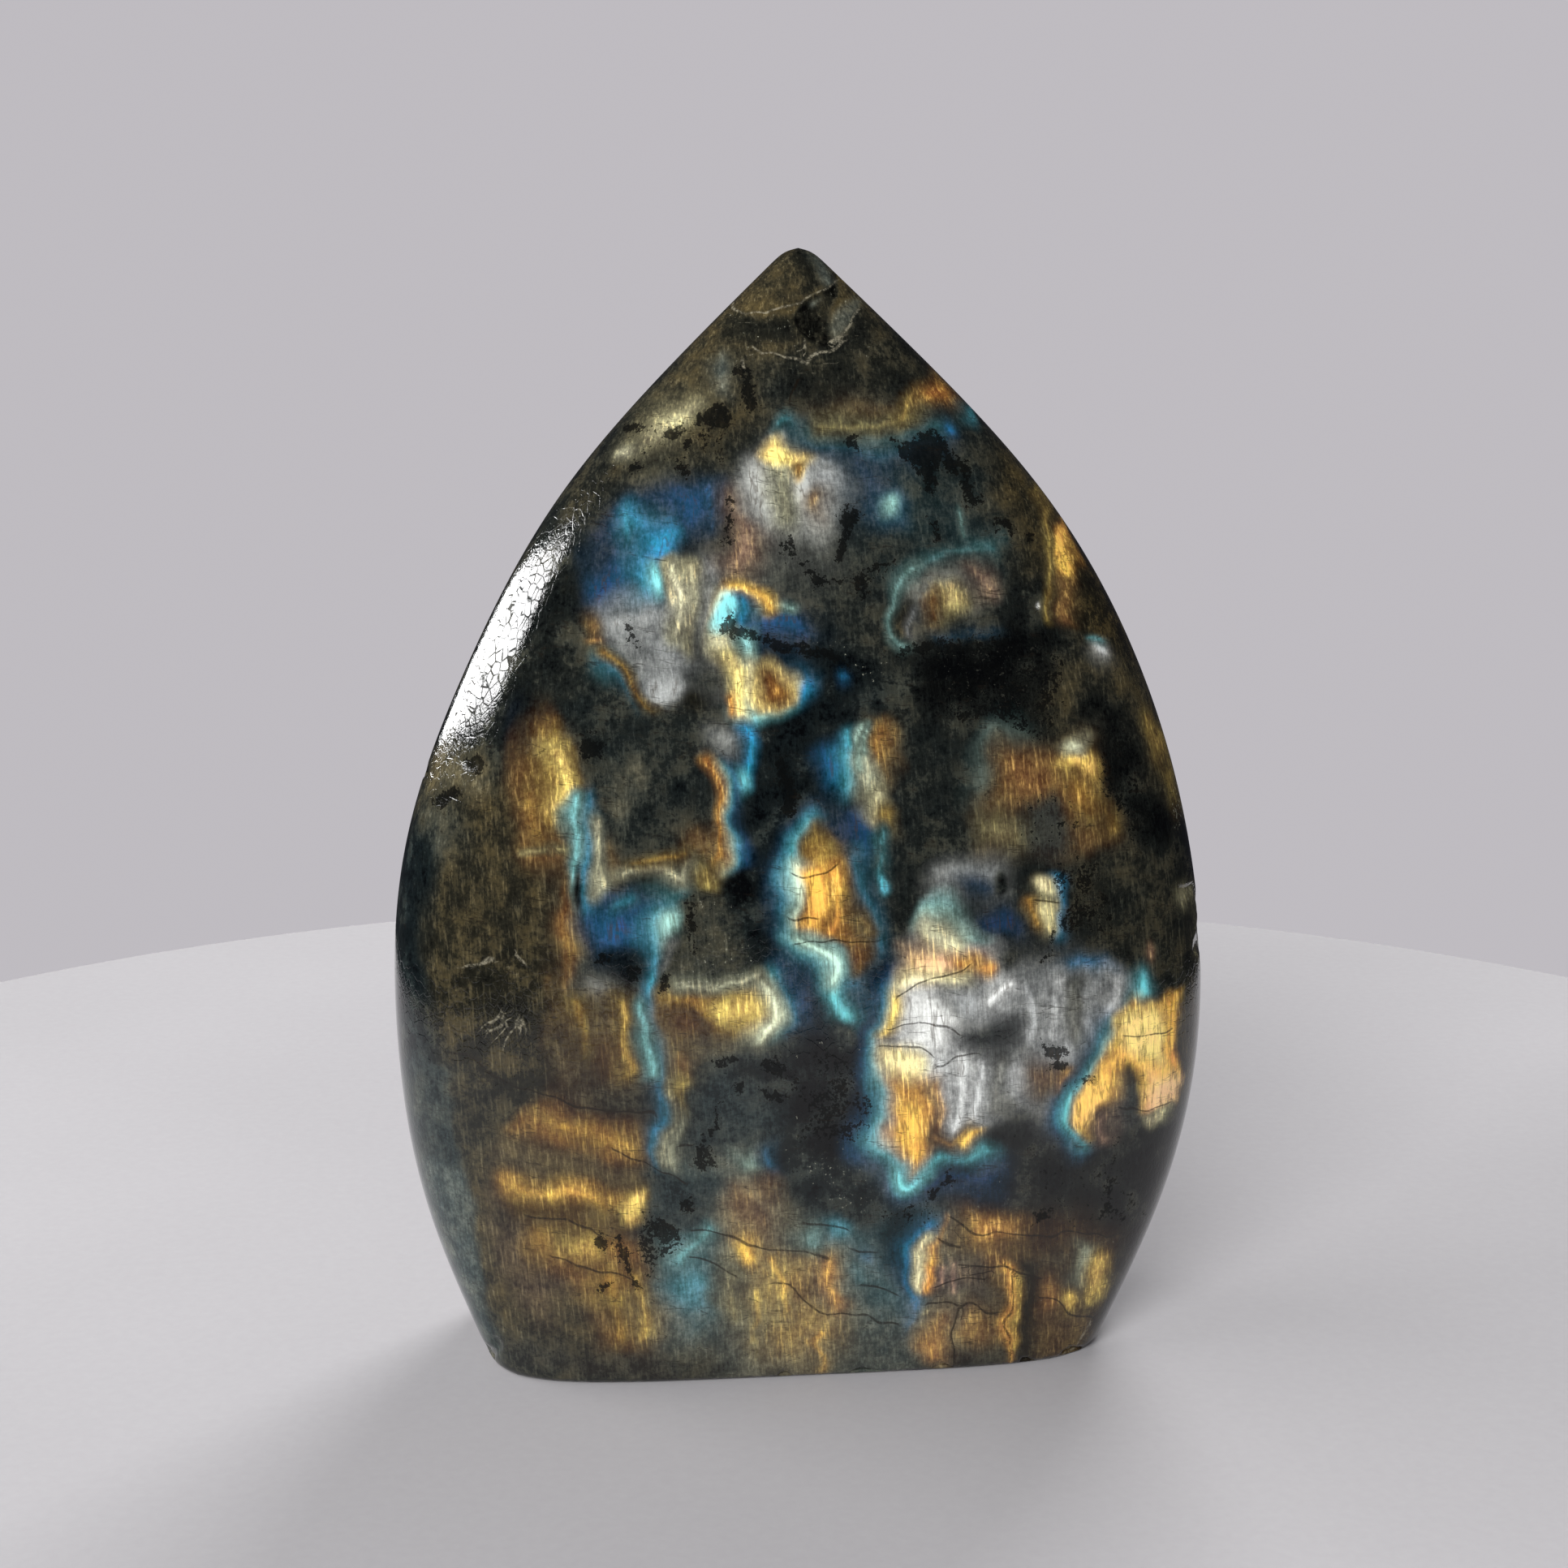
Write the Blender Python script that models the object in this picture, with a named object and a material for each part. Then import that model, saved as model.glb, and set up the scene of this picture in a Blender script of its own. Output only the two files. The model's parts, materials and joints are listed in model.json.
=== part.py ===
"""A polished spectrolite flame: one freeform stone, cut as a flame and standing on a flat sawn foot.

The stone is one natural piece. Its outline is a flame seen from the front, and every level cut
through it is a rounded oblong, full and blunt at the foot and slimmer towards the point.
The frame has +Z up and -Y towards the viewer, with its origin in the middle of the foot's face.
"""

import math

import bmesh
import bpy
import numpy as np

# Driving dimensions, in metres
HEIGHT = 0.120
HALF_THICKNESS = 0.019
FOOT_ARRIS = 0.0004  # the small blunted edge round the foot

# The flame's outline: height, left side and right side, as shares of the height
OUTLINE = (
    (0.000, -0.295, 0.275),
    (0.125, -0.345, 0.337),
    (0.300, -0.372, 0.372),
    (0.475, -0.359, 0.356),
    (0.650, -0.293, 0.299),
    (0.800, -0.204, 0.206),
    (0.920, -0.095, 0.091),
    (1.000, -0.013, 0.006),
)

# The height as a share of the whole, then how much of its full thickness the stone has there
THICKNESS = (
    (0.000, 0.820),
    (0.150, 0.945),
    (0.350, 1.000),
    (0.540, 0.920),
    (0.710, 0.715),
    (0.833, 0.505),
    (0.917, 0.335),
    (0.967, 0.205),
    (1.000, 0.050),
)

# How square the level cuts are: height share, then the powers across the width and through the thickness
SQUARENESS = (
    (0.000, 4.4, 4.8),
    (0.050, 3.7, 3.9),
    (0.120, 3.1, 3.2),
    (0.250, 2.9, 2.8),
    (0.500, 2.7, 2.6),
    (0.850, 2.5, 2.4),
    (1.000, 2.2, 2.2),
)

LEVELS = 51
RING_POINTS = 84
FINE_POINTS = 4000  # for measuring lengths along a curve
TIP_ROUNDING = 0.75  # how far up the last step the blunt tip begins

STONE_COLOUR = (0.045, 0.055, 0.055, 1.0)
STONE_ROUGHNESS = 0.15
CREASE = math.radians(35)


def clear_scene():
    for each in list(bpy.data.objects):
        bpy.data.objects.remove(each)


def smooth_curve(knots, column):
    """A natural cubic through one column of a table: the smoothest line that meets every point."""
    table = np.array(knots)
    at, value = table[:, 0], table[:, column]
    step = np.diff(at)
    rise = np.diff(value) / step
    balance = np.diag(2 * (step[:-1] + step[1:])) + np.diag(step[1:-1], 1) + np.diag(step[1:-1], -1)
    bend = np.concatenate([[0.0], np.linalg.solve(balance, 6 * np.diff(rise)), [0.0]])

    def curve(x):
        i = np.clip(np.searchsorted(at, x) - 1, 0, len(at) - 2)
        below, above = x - at[i], at[i + 1] - x
        cubic = (bend[i] * above**3 + bend[i + 1] * below**3) / (6 * step[i])
        start = (value[i] / step[i] - bend[i] * step[i] / 6) * above
        end = (value[i + 1] / step[i] - bend[i + 1] * step[i] / 6) * below
        return cubic + start + end

    return curve


LEFT = smooth_curve(OUTLINE, 1)
RIGHT = smooth_curve(OUTLINE, 2)
FULLNESS = smooth_curve(THICKNESS, 1)
ACROSS_POWER = smooth_curve(SQUARENESS, 1)
THROUGH_POWER = smooth_curve(SQUARENESS, 2)


def level_shares():
    """Heights of the level cuts, as shares of the height, evenly spaced along the flame's side."""
    share = np.linspace(0.0, 1.0, FINE_POINTS)
    side = np.hypot(np.diff(share), np.diff(RIGHT(share)))
    along = np.concatenate([[0.0], np.cumsum(side)])
    even = np.linspace(0.0, along[-1], LEVELS + 1)[:-1]
    blunt = even[-1] + TIP_ROUNDING * (along[-1] - even[-1])
    return np.interp(np.append(even, blunt), along, share)


def level_cut(share, inset=0.0):
    """The rounded oblong at one level, as points evenly spaced round it, anticlockwise from the right."""
    left, right = LEFT(share) * HEIGHT + inset, RIGHT(share) * HEIGHT - inset
    thick = FULLNESS(share) * HALF_THICKNESS - inset
    turn = np.linspace(0.0, 2 * math.pi, FINE_POINTS)
    cos, sin = np.cos(turn), np.sin(turn)
    x = (left + right) / 2 + (right - left) / 2 * np.sign(cos) * np.abs(cos) ** (2 / ACROSS_POWER(share))
    y = thick * np.sign(sin) * np.abs(sin) ** (2 / THROUGH_POWER(share))
    along = np.concatenate([[0.0], np.cumsum(np.hypot(np.diff(x), np.diff(y)))])
    even = np.linspace(0.0, along[-1], RING_POINTS, endpoint=False)
    return np.interp(even, along, x), np.interp(even, along, y)


def add_ring(shape, share, height, inset=0.0):
    x, y = level_cut(share, inset)
    return [shape.verts.new((float(a), float(b), height)) for a, b in zip(x, y)]


def join_rings(shape, lower, upper):
    for i in range(RING_POINTS):
        j = (i + 1) % RING_POINTS
        shape.faces.new((lower[i], lower[j], upper[j], upper[i]))


def close_tip(shape, ring):
    middle = (LEFT(1.0) + RIGHT(1.0)) / 2 * HEIGHT
    tip = shape.verts.new((float(middle), 0.0, HEIGHT))
    for i in range(RING_POINTS):
        shape.faces.new((ring[i], ring[(i + 1) % RING_POINTS], tip))


def stone_shape():
    """Level cuts joined from the foot to the point, with a flat foot and a blunt tip."""
    shape = bmesh.new()
    rings = [add_ring(shape, 0.0, 0.0, FOOT_ARRIS), add_ring(shape, FOOT_ARRIS / HEIGHT, FOOT_ARRIS)]
    rings += [add_ring(shape, share, float(share) * HEIGHT) for share in level_shares()[1:]]
    for lower, upper in zip(rings, rings[1:]):
        join_rings(shape, lower, upper)
    shape.faces.new(reversed(rings[0]))
    close_tip(shape, rings[-1])
    return shape


def stone_material():
    material = bpy.data.materials.new("polished spectrolite")
    material.use_nodes = True
    surface = material.node_tree.nodes["Principled BSDF"]
    surface.inputs["Base Color"].default_value = STONE_COLOUR
    surface.inputs["Roughness"].default_value = STONE_ROUGHNESS
    surface.inputs["Metallic"].default_value = 0.0
    return material


def make_stone():
    shape = stone_shape()
    mesh = bpy.data.meshes.new("flame_stone")
    shape.to_mesh(mesh)
    shape.free()
    mesh.shade_smooth()
    mesh.set_sharp_from_angle(angle=CREASE)
    mesh.materials.append(stone_material())
    stone = bpy.data.objects.new("flame_stone", mesh)
    bpy.context.scene.collection.objects.link(stone)


clear_scene()
make_stone()
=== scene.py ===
"""The finish and the studio for a polished spectrolite flame.

The stone's form comes from the frame. This script polishes a copy of it, chips its edges, lays the
flashes of colour that the stone shows from its front, and sets up the camera, the floor and the light.
"""

import json
import math
from collections import namedtuple

import bpy
import numpy as np
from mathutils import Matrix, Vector

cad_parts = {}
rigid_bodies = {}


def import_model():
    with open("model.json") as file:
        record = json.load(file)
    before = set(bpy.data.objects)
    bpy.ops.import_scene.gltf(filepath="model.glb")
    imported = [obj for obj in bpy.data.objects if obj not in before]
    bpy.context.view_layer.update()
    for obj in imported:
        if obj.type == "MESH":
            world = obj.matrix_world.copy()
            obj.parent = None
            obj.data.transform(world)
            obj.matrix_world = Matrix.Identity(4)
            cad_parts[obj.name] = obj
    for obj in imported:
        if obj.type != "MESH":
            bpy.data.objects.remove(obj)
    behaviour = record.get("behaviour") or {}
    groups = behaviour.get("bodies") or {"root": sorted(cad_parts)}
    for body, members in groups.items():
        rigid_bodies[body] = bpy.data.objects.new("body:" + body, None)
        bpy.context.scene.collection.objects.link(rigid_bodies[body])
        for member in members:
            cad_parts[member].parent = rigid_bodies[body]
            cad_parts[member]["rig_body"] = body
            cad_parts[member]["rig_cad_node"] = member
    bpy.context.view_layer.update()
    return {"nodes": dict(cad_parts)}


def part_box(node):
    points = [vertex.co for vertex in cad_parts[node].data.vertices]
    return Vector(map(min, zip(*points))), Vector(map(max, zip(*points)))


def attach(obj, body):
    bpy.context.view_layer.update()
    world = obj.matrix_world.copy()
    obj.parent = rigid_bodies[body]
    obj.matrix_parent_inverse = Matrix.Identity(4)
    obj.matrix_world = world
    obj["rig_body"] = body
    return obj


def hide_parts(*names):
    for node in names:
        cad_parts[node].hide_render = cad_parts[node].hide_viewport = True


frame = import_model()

bl_info = {
    "name": "Spectrolite flame",
    "version": (1, 0, 0),
    "blender": (4, 5, 0),
    "location": "3D View > Sidebar > Flame",
    "description": "Polishes a spectrolite flame, lays its flashes of colour and lights it in a plain studio",
    "category": "Object",
}

CAD_NODE = "flame_stone"
STONE = "polished_flame"
FOOT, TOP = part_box(CAD_NODE)

# The camera stands where the photograph was taken from; angles in degrees, lengths in metres
VIEW_AZIMUTH = -6.0
VIEW_ELEVATION = 12.0
VIEW_LENS = 60.0
VIEW_SENSOR = 36.0
VIEW_DISTANCE = 0.286
VIEW_TARGET = Vector((-0.0019, 0.0, 0.0625))
PICTURE = 1932  # the photograph's width and height, in pixels
PIXEL = VIEW_DISTANCE * VIEW_SENSOR / VIEW_LENS / PICTURE  # what one pixel spans on the stone

# The window as the gloss shows it: on a wall to the left, from beside the stone to well behind it
WALL_AWAY = 2.0
WINDOW_START, WINDOW_END = -0.25, 4.4
WINDOW_SILL, WINDOW_HEAD = 0.37, 0.92
WINDOW_DIP = 9.7  # how far it leans down towards the back, in degrees
WINDOW_SHINE = 230.0

# Places on the flash's scale of colour, which runs on as the layers in the stone grow thicker
NAVY, BLUE, AZURE, CYAN, ICE = 0.13, 0.20, 0.27, 0.34, 0.40
CREAM, YELLOW, GOLD, AMBER, ORANGE, RUST = 0.46, 0.52, 0.57, 0.62, 0.68, 0.74
ROSE, SMOKE, SILVER, WHITE, PEACH = 0.80, 0.86, 0.93, 1.00, 1.10

# The same scale in display colours, 0 to 255
FLASH_SCALE = (
    (0.00, (5, 9, 14)),
    (0.08, (12, 24, 42)),
    (NAVY, (22, 50, 78)),
    (BLUE, (34, 96, 140)),
    (AZURE, (50, 152, 194)),
    (CYAN, (104, 198, 208)),
    (ICE, (168, 224, 214)),
    (CREAM, (242, 238, 196)),
    (YELLOW, (255, 220, 122)),
    (GOLD, (248, 194, 88)),
    (AMBER, (232, 164, 76)),
    (ORANGE, (212, 154, 84)),
    (RUST, (158, 130, 82)),
    (ROSE, (188, 150, 126)),
    (SMOKE, (146, 146, 136)),
    (SILVER, (184, 188, 188)),
    (WHITE, (240, 241, 236)),
    (PEACH, (244, 198, 146)),
)

# The stone between the flashes, from black to pale, where it is cold and where it is warm
COLD_STONE = (
    (0.0, (3, 4, 5)), (0.25, (20, 27, 28)), (0.5, (46, 56, 56)), (0.75, (78, 90, 89)), (1.0, (130, 140, 136)))
WARM_STONE = (
    (0.0, (7, 6, 3)), (0.25, (34, 30, 19)), (0.5, (70, 60, 37)), (0.75, (104, 92, 62)),
    (1.0, (152, 141, 112)))

# The single strands, flecks, inclusions, cracks and lines, in display colours
STRAND_GOLD = (250, 204, 122)
FLECK = (150, 150, 134)
INK = (7, 8, 8)
CRACK = (20, 15, 10)
CHALK = (134, 128, 110)
FISSURE = (52, 40, 26)
SEAM = (22, 18, 14)

SOFTNESS = 3.0  # how much wider than drawn every patch's edge fades
LINE_SOFTNESS = 1.7  # how much wider again it fades where the patch is a line
HEART = 0.36  # how much of a patch's strength is kept for its heart
DRIFT = 0.10  # how much a patch's strength drifts along it
DRIFT_SIZE = 60  # the size of that drift, in the photograph's pixels

# How the drawing's edges waver: the swells' size and strength, in the photograph's pixels, and a seed
EDGE_WAVES = ((90, 5.0, 1), (34, 1.6, 2))

# Widths of the ramp at the edge of an inclusion, a field of flecks and a chip, in the photograph's pixels
INK_EDGE, FLECK_EDGE, CHIP_EDGE = 14.0, 16.0, 5.0
LINE_REACH = 16.0  # how far from a crack its distance is kept, in the same pixels
FINEST_FACES = 7700  # how many faces are divided once more

# Where the crazing of the gloss fades out towards the right, and in from below, in metres
CRAZED_ACROSS = (-0.026, -0.020)
CRAZED_UP = (0.050, 0.060)

# The stone where no patch is laid: how pale and how warm it is
PLAIN_TONE, PLAIN_WARMTH = 0.26, 0.38

# The side turned away: the slants between which a face passes over to it, how far over a face may be and
# still carry chips and the finest faces, and how much weaker the flashes are there
TURNED_AWAY = (-0.10, 0.70)
NEAR_SIDE = 0.3
BACK_DIMMING = 0.35

# How the layers shift there, across and down: the swells' size in metres, their strength and the shift in
# the photograph's pixels, and a seed
BACK_SHIFTS = ((0.045, 60, 90, 11), (0.050, 70, -60, 12))

# The room's own light on the stone, and the room as the gloss mirrors it
ROOM_COLOUR, ROOM_STRENGTH = (0.55, 0.56, 0.60, 1.0), 0.28
MIRRORED_ROOM = (0.02, 0.02, 0.025, 1.0)

# Where the lights stand, in metres
WINDOW_PLACE = (-0.59, 0.08, 0.32)
WINDOW_AIM = (0, 0, 0.08)
WINDOW_WIDTH, WINDOW_HEIGHT = 0.70, 0.26
FILL_PLACE = (-0.30, -0.70, 0.45)
FILL_SIZE = 0.40

Patch = namedtuple("Patch", "name hue glow tone warm soft width points")
Vein = namedtuple("Vein", "name width fill points")


def flash(name, hue, glow, soft, *points, width=0):
    """A flash of colour: its place on the scale, its strength, the softness of its edge and its outline."""
    return Patch(name, hue, glow, None, None, soft, width, points)


def ground(name, tone, warm, soft, *points, width=0, glow=0.0):
    """Plain stone: how pale and how warm it is. It hides the flashes under it unless glow says otherwise."""
    return Patch(name, None, glow, tone, warm, soft, width, points)


def ink(name, width, *points, fill=1.0):
    """A black inclusion: a closed outline, or a line of this width. A low fill breaks it into specks."""
    return Vein(name, width, fill, points)


def oval(x, y, across, up, lean=0.0):
    """The outline of an oval, leaning clockwise by so many degrees."""
    turn = math.radians(lean)
    steps = [math.tau * i / 12 for i in range(12)]
    return [
        (
            x + across * math.cos(a) * math.cos(turn) - up * math.sin(a) * math.sin(turn),
            y + across * math.cos(a) * math.sin(turn) + up * math.sin(a) * math.cos(turn),
        )
        for a in steps
    ]


# Outlines below are places in the photograph, in pixels of its 1932 x 1932 frame, from its top left corner

WASHES = (
    ground("cloudy middle", 0.30, 0.30, 40,
        (880, 520), (1060, 500), (1250, 560), (1300, 720), (1100, 760), (880, 740)),
    ground("right cloud", 0.24, 0.30, 30,
        (1110, 880), (1210, 890), (1230, 1050), (1240, 1110), (1120, 1120), (1090, 1000)),
    ground("lower right stone", 0.13, 0.28, 30,
        (1150, 1400), (1460, 1380), (1420, 1530), (1330, 1540), (1130, 1500)),
    ground("grey foot", 0.55, 0.25, 30, (830, 1430), (960, 1400), (1150, 1470), (1180, 1700), (820, 1700)),
    ground("left olive field", 0.28, 0.75, 30,
        (540, 930), (640, 900), (680, 1080), (680, 1330), (520, 1320), (505, 1080)),
    ground("plum stone", 0.36, 0.70, 26,
        (560, 1400), (660, 1400), (730, 1560), (760, 1680), (625, 1690), (570, 1560)),
    flash("left gold wash", 0.64, 0.18, 30,
        (655, 860), (705, 880), (715, 1000), (712, 1200), (800, 1240), (815, 1440), (822, 1660),
        (740, 1680), (640, 1560), (600, 1440), (640, 1340), (665, 1200), (640, 1040)),
    flash("middle foot wash", 0.56, 0.28, 30,
        (850, 1480), (960, 1440), (1040, 1520), (1060, 1690), (860, 1690)),
    flash("right foot wash", 0.68, 0.30, 26,
        (1130, 1500), (1270, 1480), (1400, 1510), (1350, 1640), (1320, 1690), (1130, 1690)),
    flash("cloud wash", SMOKE, 0.40, 34,
        (880, 600), (930, 520), (1050, 540), (1070, 690), (1000, 740), (900, 730)),
    flash("teal wash", 0.33, 0.16, 34, (1050, 560), (1180, 560), (1250, 640), (1240, 700), (1100, 700)),
    flash("blue window wash", NAVY, 0.62, 26,
        (720, 650), (790, 580), (900, 575), (905, 660), (850, 700), (820, 750), (700, 755)),
    flash("snake wash", 0.15, 0.55, 24,
        (890, 740), (1000, 745), (1060, 830), (1060, 880), (960, 910), (900, 890)),
    flash("crescent wash", 0.14, 0.50, 26,
        (955, 1000), (1020, 980), (1095, 990), (1095, 1120), (1090, 1290), (960, 1290)),
    flash("column wash", 0.14, 0.55, 22, (890, 930), (930, 920), (940, 1060), (895, 1090)),
    flash("big patch wash", 0.17, 0.55, 22,
        (1040, 1290), (1090, 1190), (1095, 1420), (1240, 1430), (1240, 1480), (1050, 1480)),
    flash("silver wash", SILVER, 0.46, 26, (1240, 1180), (1400, 1170), (1400, 1380), (1240, 1390)),
    flash("teal foot wash", 0.32, 0.34, 24, (1000, 1490), (1140, 1500), (1130, 1620), (1040, 1620)),
    flash("teal step wash", 0.33, 0.36, 22, (805, 1440), (880, 1440), (880, 1640), (820, 1650)),
)

CROWN = (
    ground("olive crown", 0.39, 0.85, 24,
        (900, 290), (1060, 290), (1120, 420), (1040, 445), (900, 455), (840, 430)),
    ground("dark neck", 0.22, 0.50, 18,
        (1030, 400), (1120, 390), (1180, 460), (1060, 480), (990, 500), (960, 460)),
    ground("olive shoulder", 0.33, 0.72, 24,
        (840, 430), (920, 460), (935, 520), (905, 560), (800, 580), (700, 640)),
    ground("pale graze", 0.66, 0.35, 10, *oval(892, 462, 14, 28)),
    ground("dark strip", 0.15, 0.60, 5, (990, 312), (993, 350), width=10),
    ground("grey-green lip", 0.52, 0.25, 6, (1003, 318), (1014, 345), width=12),
    # Painted shade and painted light on the broken tip: darker under the break and on the sunk broken facet,
    # lighter on the lit facet
    ground("shade under the break", 0.22, 0.60, 8,
        (900, 388), (950, 398), (980, 392), (985, 418), (930, 432), (880, 420)),
    ground("broken facet", 0.06, 0.55, 3,
        (985, 383), (1000, 368), (1025, 352), (1026, 420), (1000, 422), (988, 408)),
    ground("lit facet", 0.62, 0.40, 4,
        (1030, 390), (1045, 378), (1060, 370), (1062, 385), (1050, 400), (1030, 417)),
    ground("grey spot", 0.55, 0.30, 3, *oval(1007, 374, 5, 5)),
    flash("cream haze", 0.47, 0.50, 26, (790, 500), (850, 470), (880, 500), (830, 560), (780, 580)),
    flash("pale spot", CREAM, 0.50, 12, *oval(766, 560, 22, 16)),
)

UPPER_LEFT = (
    flash("blue window", 0.165, 0.80, 12,
        (800, 610), (830, 590), (862, 582), (888, 600), (880, 630), (850, 655), (812, 625)),
    flash("blue stripe", BLUE, 0.72, 7, (865, 598), (876, 645), width=12),
    flash("blue stripe", BLUE, 0.62, 6, (884, 596), (888, 632), width=9),
    flash("navy wing", 0.15, 0.86, 14,
        (706, 692), (750, 680), (775, 640), (778, 738), (745, 752), (712, 742)),
    flash("cyan core", 0.285, 0.74, 12,
        (770, 640), (798, 624), (828, 650), (808, 682), (819, 740), (775, 742)),
    flash("azure heart", 0.265, 1.00, 10, (788, 655), (834, 652), (830, 694), (795, 692)),
    flash("bright drop", 0.365, 1.05, 8, *oval(805, 716, 11, 22)),
    flash("cyan freckle", 0.30, 0.66, 6, *oval(778, 650, 7, 16)),
    flash("cream edge", 0.48, 0.72, 5, (825, 696), (825, 748), width=8),
    flash("rose-silver field", 0.91, 1.04, 18,
        (745, 752), (822, 745), (850, 700), (888, 680), (892, 720), (882, 800), (862, 870), (800, 872)),
    flash("silver light", 0.925, 0.60, 16, (785, 775), (850, 775), (856, 815), (800, 830)),
    flash("field's pale lines", 0.46, 0.84, 7, (833, 700), (836, 780), width=8),
    flash("field's pale lines", 0.47, 0.76, 7, (850, 700), (856, 790), width=7),
    flash("pink stone", 0.79, 0.58, 16,
        (885, 600), (930, 620), (940, 680), (910, 720), (880, 700), (890, 650)),
    flash("grey sleeve", 0.88, 0.62, 12, (872, 740), (884, 800), (880, 850), width=24),
    ground("grey knot", 0.30, 0.35, 12, *oval(868, 836, 24, 18), glow=0.20),
    ground("brown knot", 0.14, 0.70, 9, *oval(850, 868, 13, 18)),
    flash("brick spot", 0.72, 0.60, 9, *oval(732, 768, 19, 19)),
    flash("orange spot", 0.68, 0.62, 7, *oval(732, 791, 17, 8)),
    flash("olive fringe", 0.48, 0.50, 7, *oval(736, 806, 14, 7)),
    flash("teal fringe", 0.36, 0.48, 12, (722, 812), (752, 812), (764, 850), (735, 855)),
    flash("blue-green side", 0.30, 0.55, 10, (745, 822), (758, 842), (775, 862), (790, 878), width=18),
    flash("bright bow", 0.58, 0.52, 5, (745, 806), (760, 821), (775, 841), (787, 855), (808, 872), width=8),
)

UPPER_MIDDLE = (
    flash("silvery window", 0.89, 1.18, 12,
        (940, 552), (958, 526), (975, 520), (985, 530), (1002, 546), (1022, 560), (1042, 590), (1046, 620),
        (1035, 650), (1010, 662), (985, 657), (935, 650), (910, 610), (920, 565)),
    flash("window's white side", 0.92, 0.62, 12, (1000, 580), (1030, 590), (1032, 625), (1008, 625)),
    flash("window's cyan lip", CYAN, 0.52, 6, (960, 522), (975, 518), (990, 532), width=9),
    flash("window's pale streak", 0.46, 0.52, 9, (968, 560), (962, 600), (966, 634), width=22),
    flash("window's gold tip", 0.515, 1.10, 7,
        (943, 550), (960, 536), (985, 541), (1002, 556), (992, 580), (984, 592), (974, 570), (950, 562)),
    flash("window's orange seed", 0.60, 0.45, 5, *oval(985, 575, 7, 10)),
    flash("window's amber corner", 0.70, 0.40, 13, *oval(1010, 632, 12, 15)),
    flash("blue haze", BLUE, 0.42, 18, (1040, 560), (1080, 570), (1085, 640), (1050, 650)),
    flash("blue ring", 0.23, 0.66, 11, *oval(1088, 624, 26, 32)),
    flash("ice spot", 0.40, 0.86, 7, *oval(1089, 620, 12, 20)),
    flash("band's blue shade", 0.20, 0.60, 12,
        (1000, 534), (1045, 556), (1090, 560), (1130, 552), (1165, 545), width=24),
    flash("band's teal lip", 0.33, 0.50, 8,
        (998, 524), (1040, 543), (1085, 548), (1120, 542), (1160, 534), width=15),
    flash("brown band", 0.70, 0.30, 18,
        (985, 500), (1010, 488), (1060, 478), (1100, 486), (1130, 470), (1160, 460), (1180, 480),
        (1174, 510), (1150, 522), (1130, 532), (1100, 538), (1060, 542), (1030, 534), (1005, 517)),
    flash("band's yellow hem", 0.50, 0.40, 8, (1015, 518), (1060, 531), (1100, 527), (1130, 520), width=15),
    flash("band's yellow streak", 0.53, 0.46, 8, (1128, 490), (1120, 520), width=14),
    flash("band's orange end", 0.62, 0.70, 11,
        (1135, 488), (1160, 464), (1178, 480), (1172, 503), (1142, 510)),
    flash("band's blue spot", 0.20, 0.95, 6, *oval(1172, 533, 10, 9)),
    flash("band's teal end", 0.32, 0.58, 10, *oval(1190, 505, 15, 15)),
    flash("teal field", 0.32, 0.20, 20, (1150, 612), (1215, 612), (1220, 692), (1150, 695)),
    flash("teal streak", ICE, 0.52, 4, (1192, 624), (1192, 662), width=7),
    flash("teal lip", 0.355, 0.50, 9, (1104, 716), (1130, 700), (1165, 689), (1222, 680), width=17),
    flash("ring patch", 0.86, 0.52, 12,
        (1102, 716), (1117, 702), (1150, 698), (1200, 691), (1232, 702), (1226, 740), (1214, 760),
        (1190, 766), (1165, 762), (1150, 778), (1138, 797), (1115, 792), (1102, 765)),
    flash("ring's pink top", 0.80, 0.56, 9, (1190, 700), (1226, 706), (1222, 738), (1198, 736)),
    flash("ring's ice edge", 0.40, 0.50, 6,
        (1124, 700), (1104, 714), (1097, 738), (1102, 768), (1118, 794), width=9),
    ground("ring's olive core", 0.20, 0.75, 8, *oval(1119, 758, 13, 22), glow=0.10),
    flash("ring's lilac streak", SILVER, 0.55, 4, (1126, 748), (1127, 776), width=5),
    flash("ring's bright lobe", 0.50, 0.68, 9,
        (1150, 735), (1172, 726), (1192, 740), (1182, 762), (1155, 762)),
    flash("ring's orange flank", 0.63, 0.42, 6, (1148, 740), (1152, 764), width=10),
    flash("blue under the ring", 0.24, 0.62, 8,
        (1150, 780), (1185, 772), (1240, 768), (1236, 790), (1165, 796)),
    ground("black shoulder", 0.15, 0.30, 12,
        (1240, 715), (1285, 700), (1305, 740), (1300, 790), (1245, 790)),
    flash("white dot", WHITE, 0.85, 3, *oval(1283, 750, 5, 4)),
)

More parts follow.
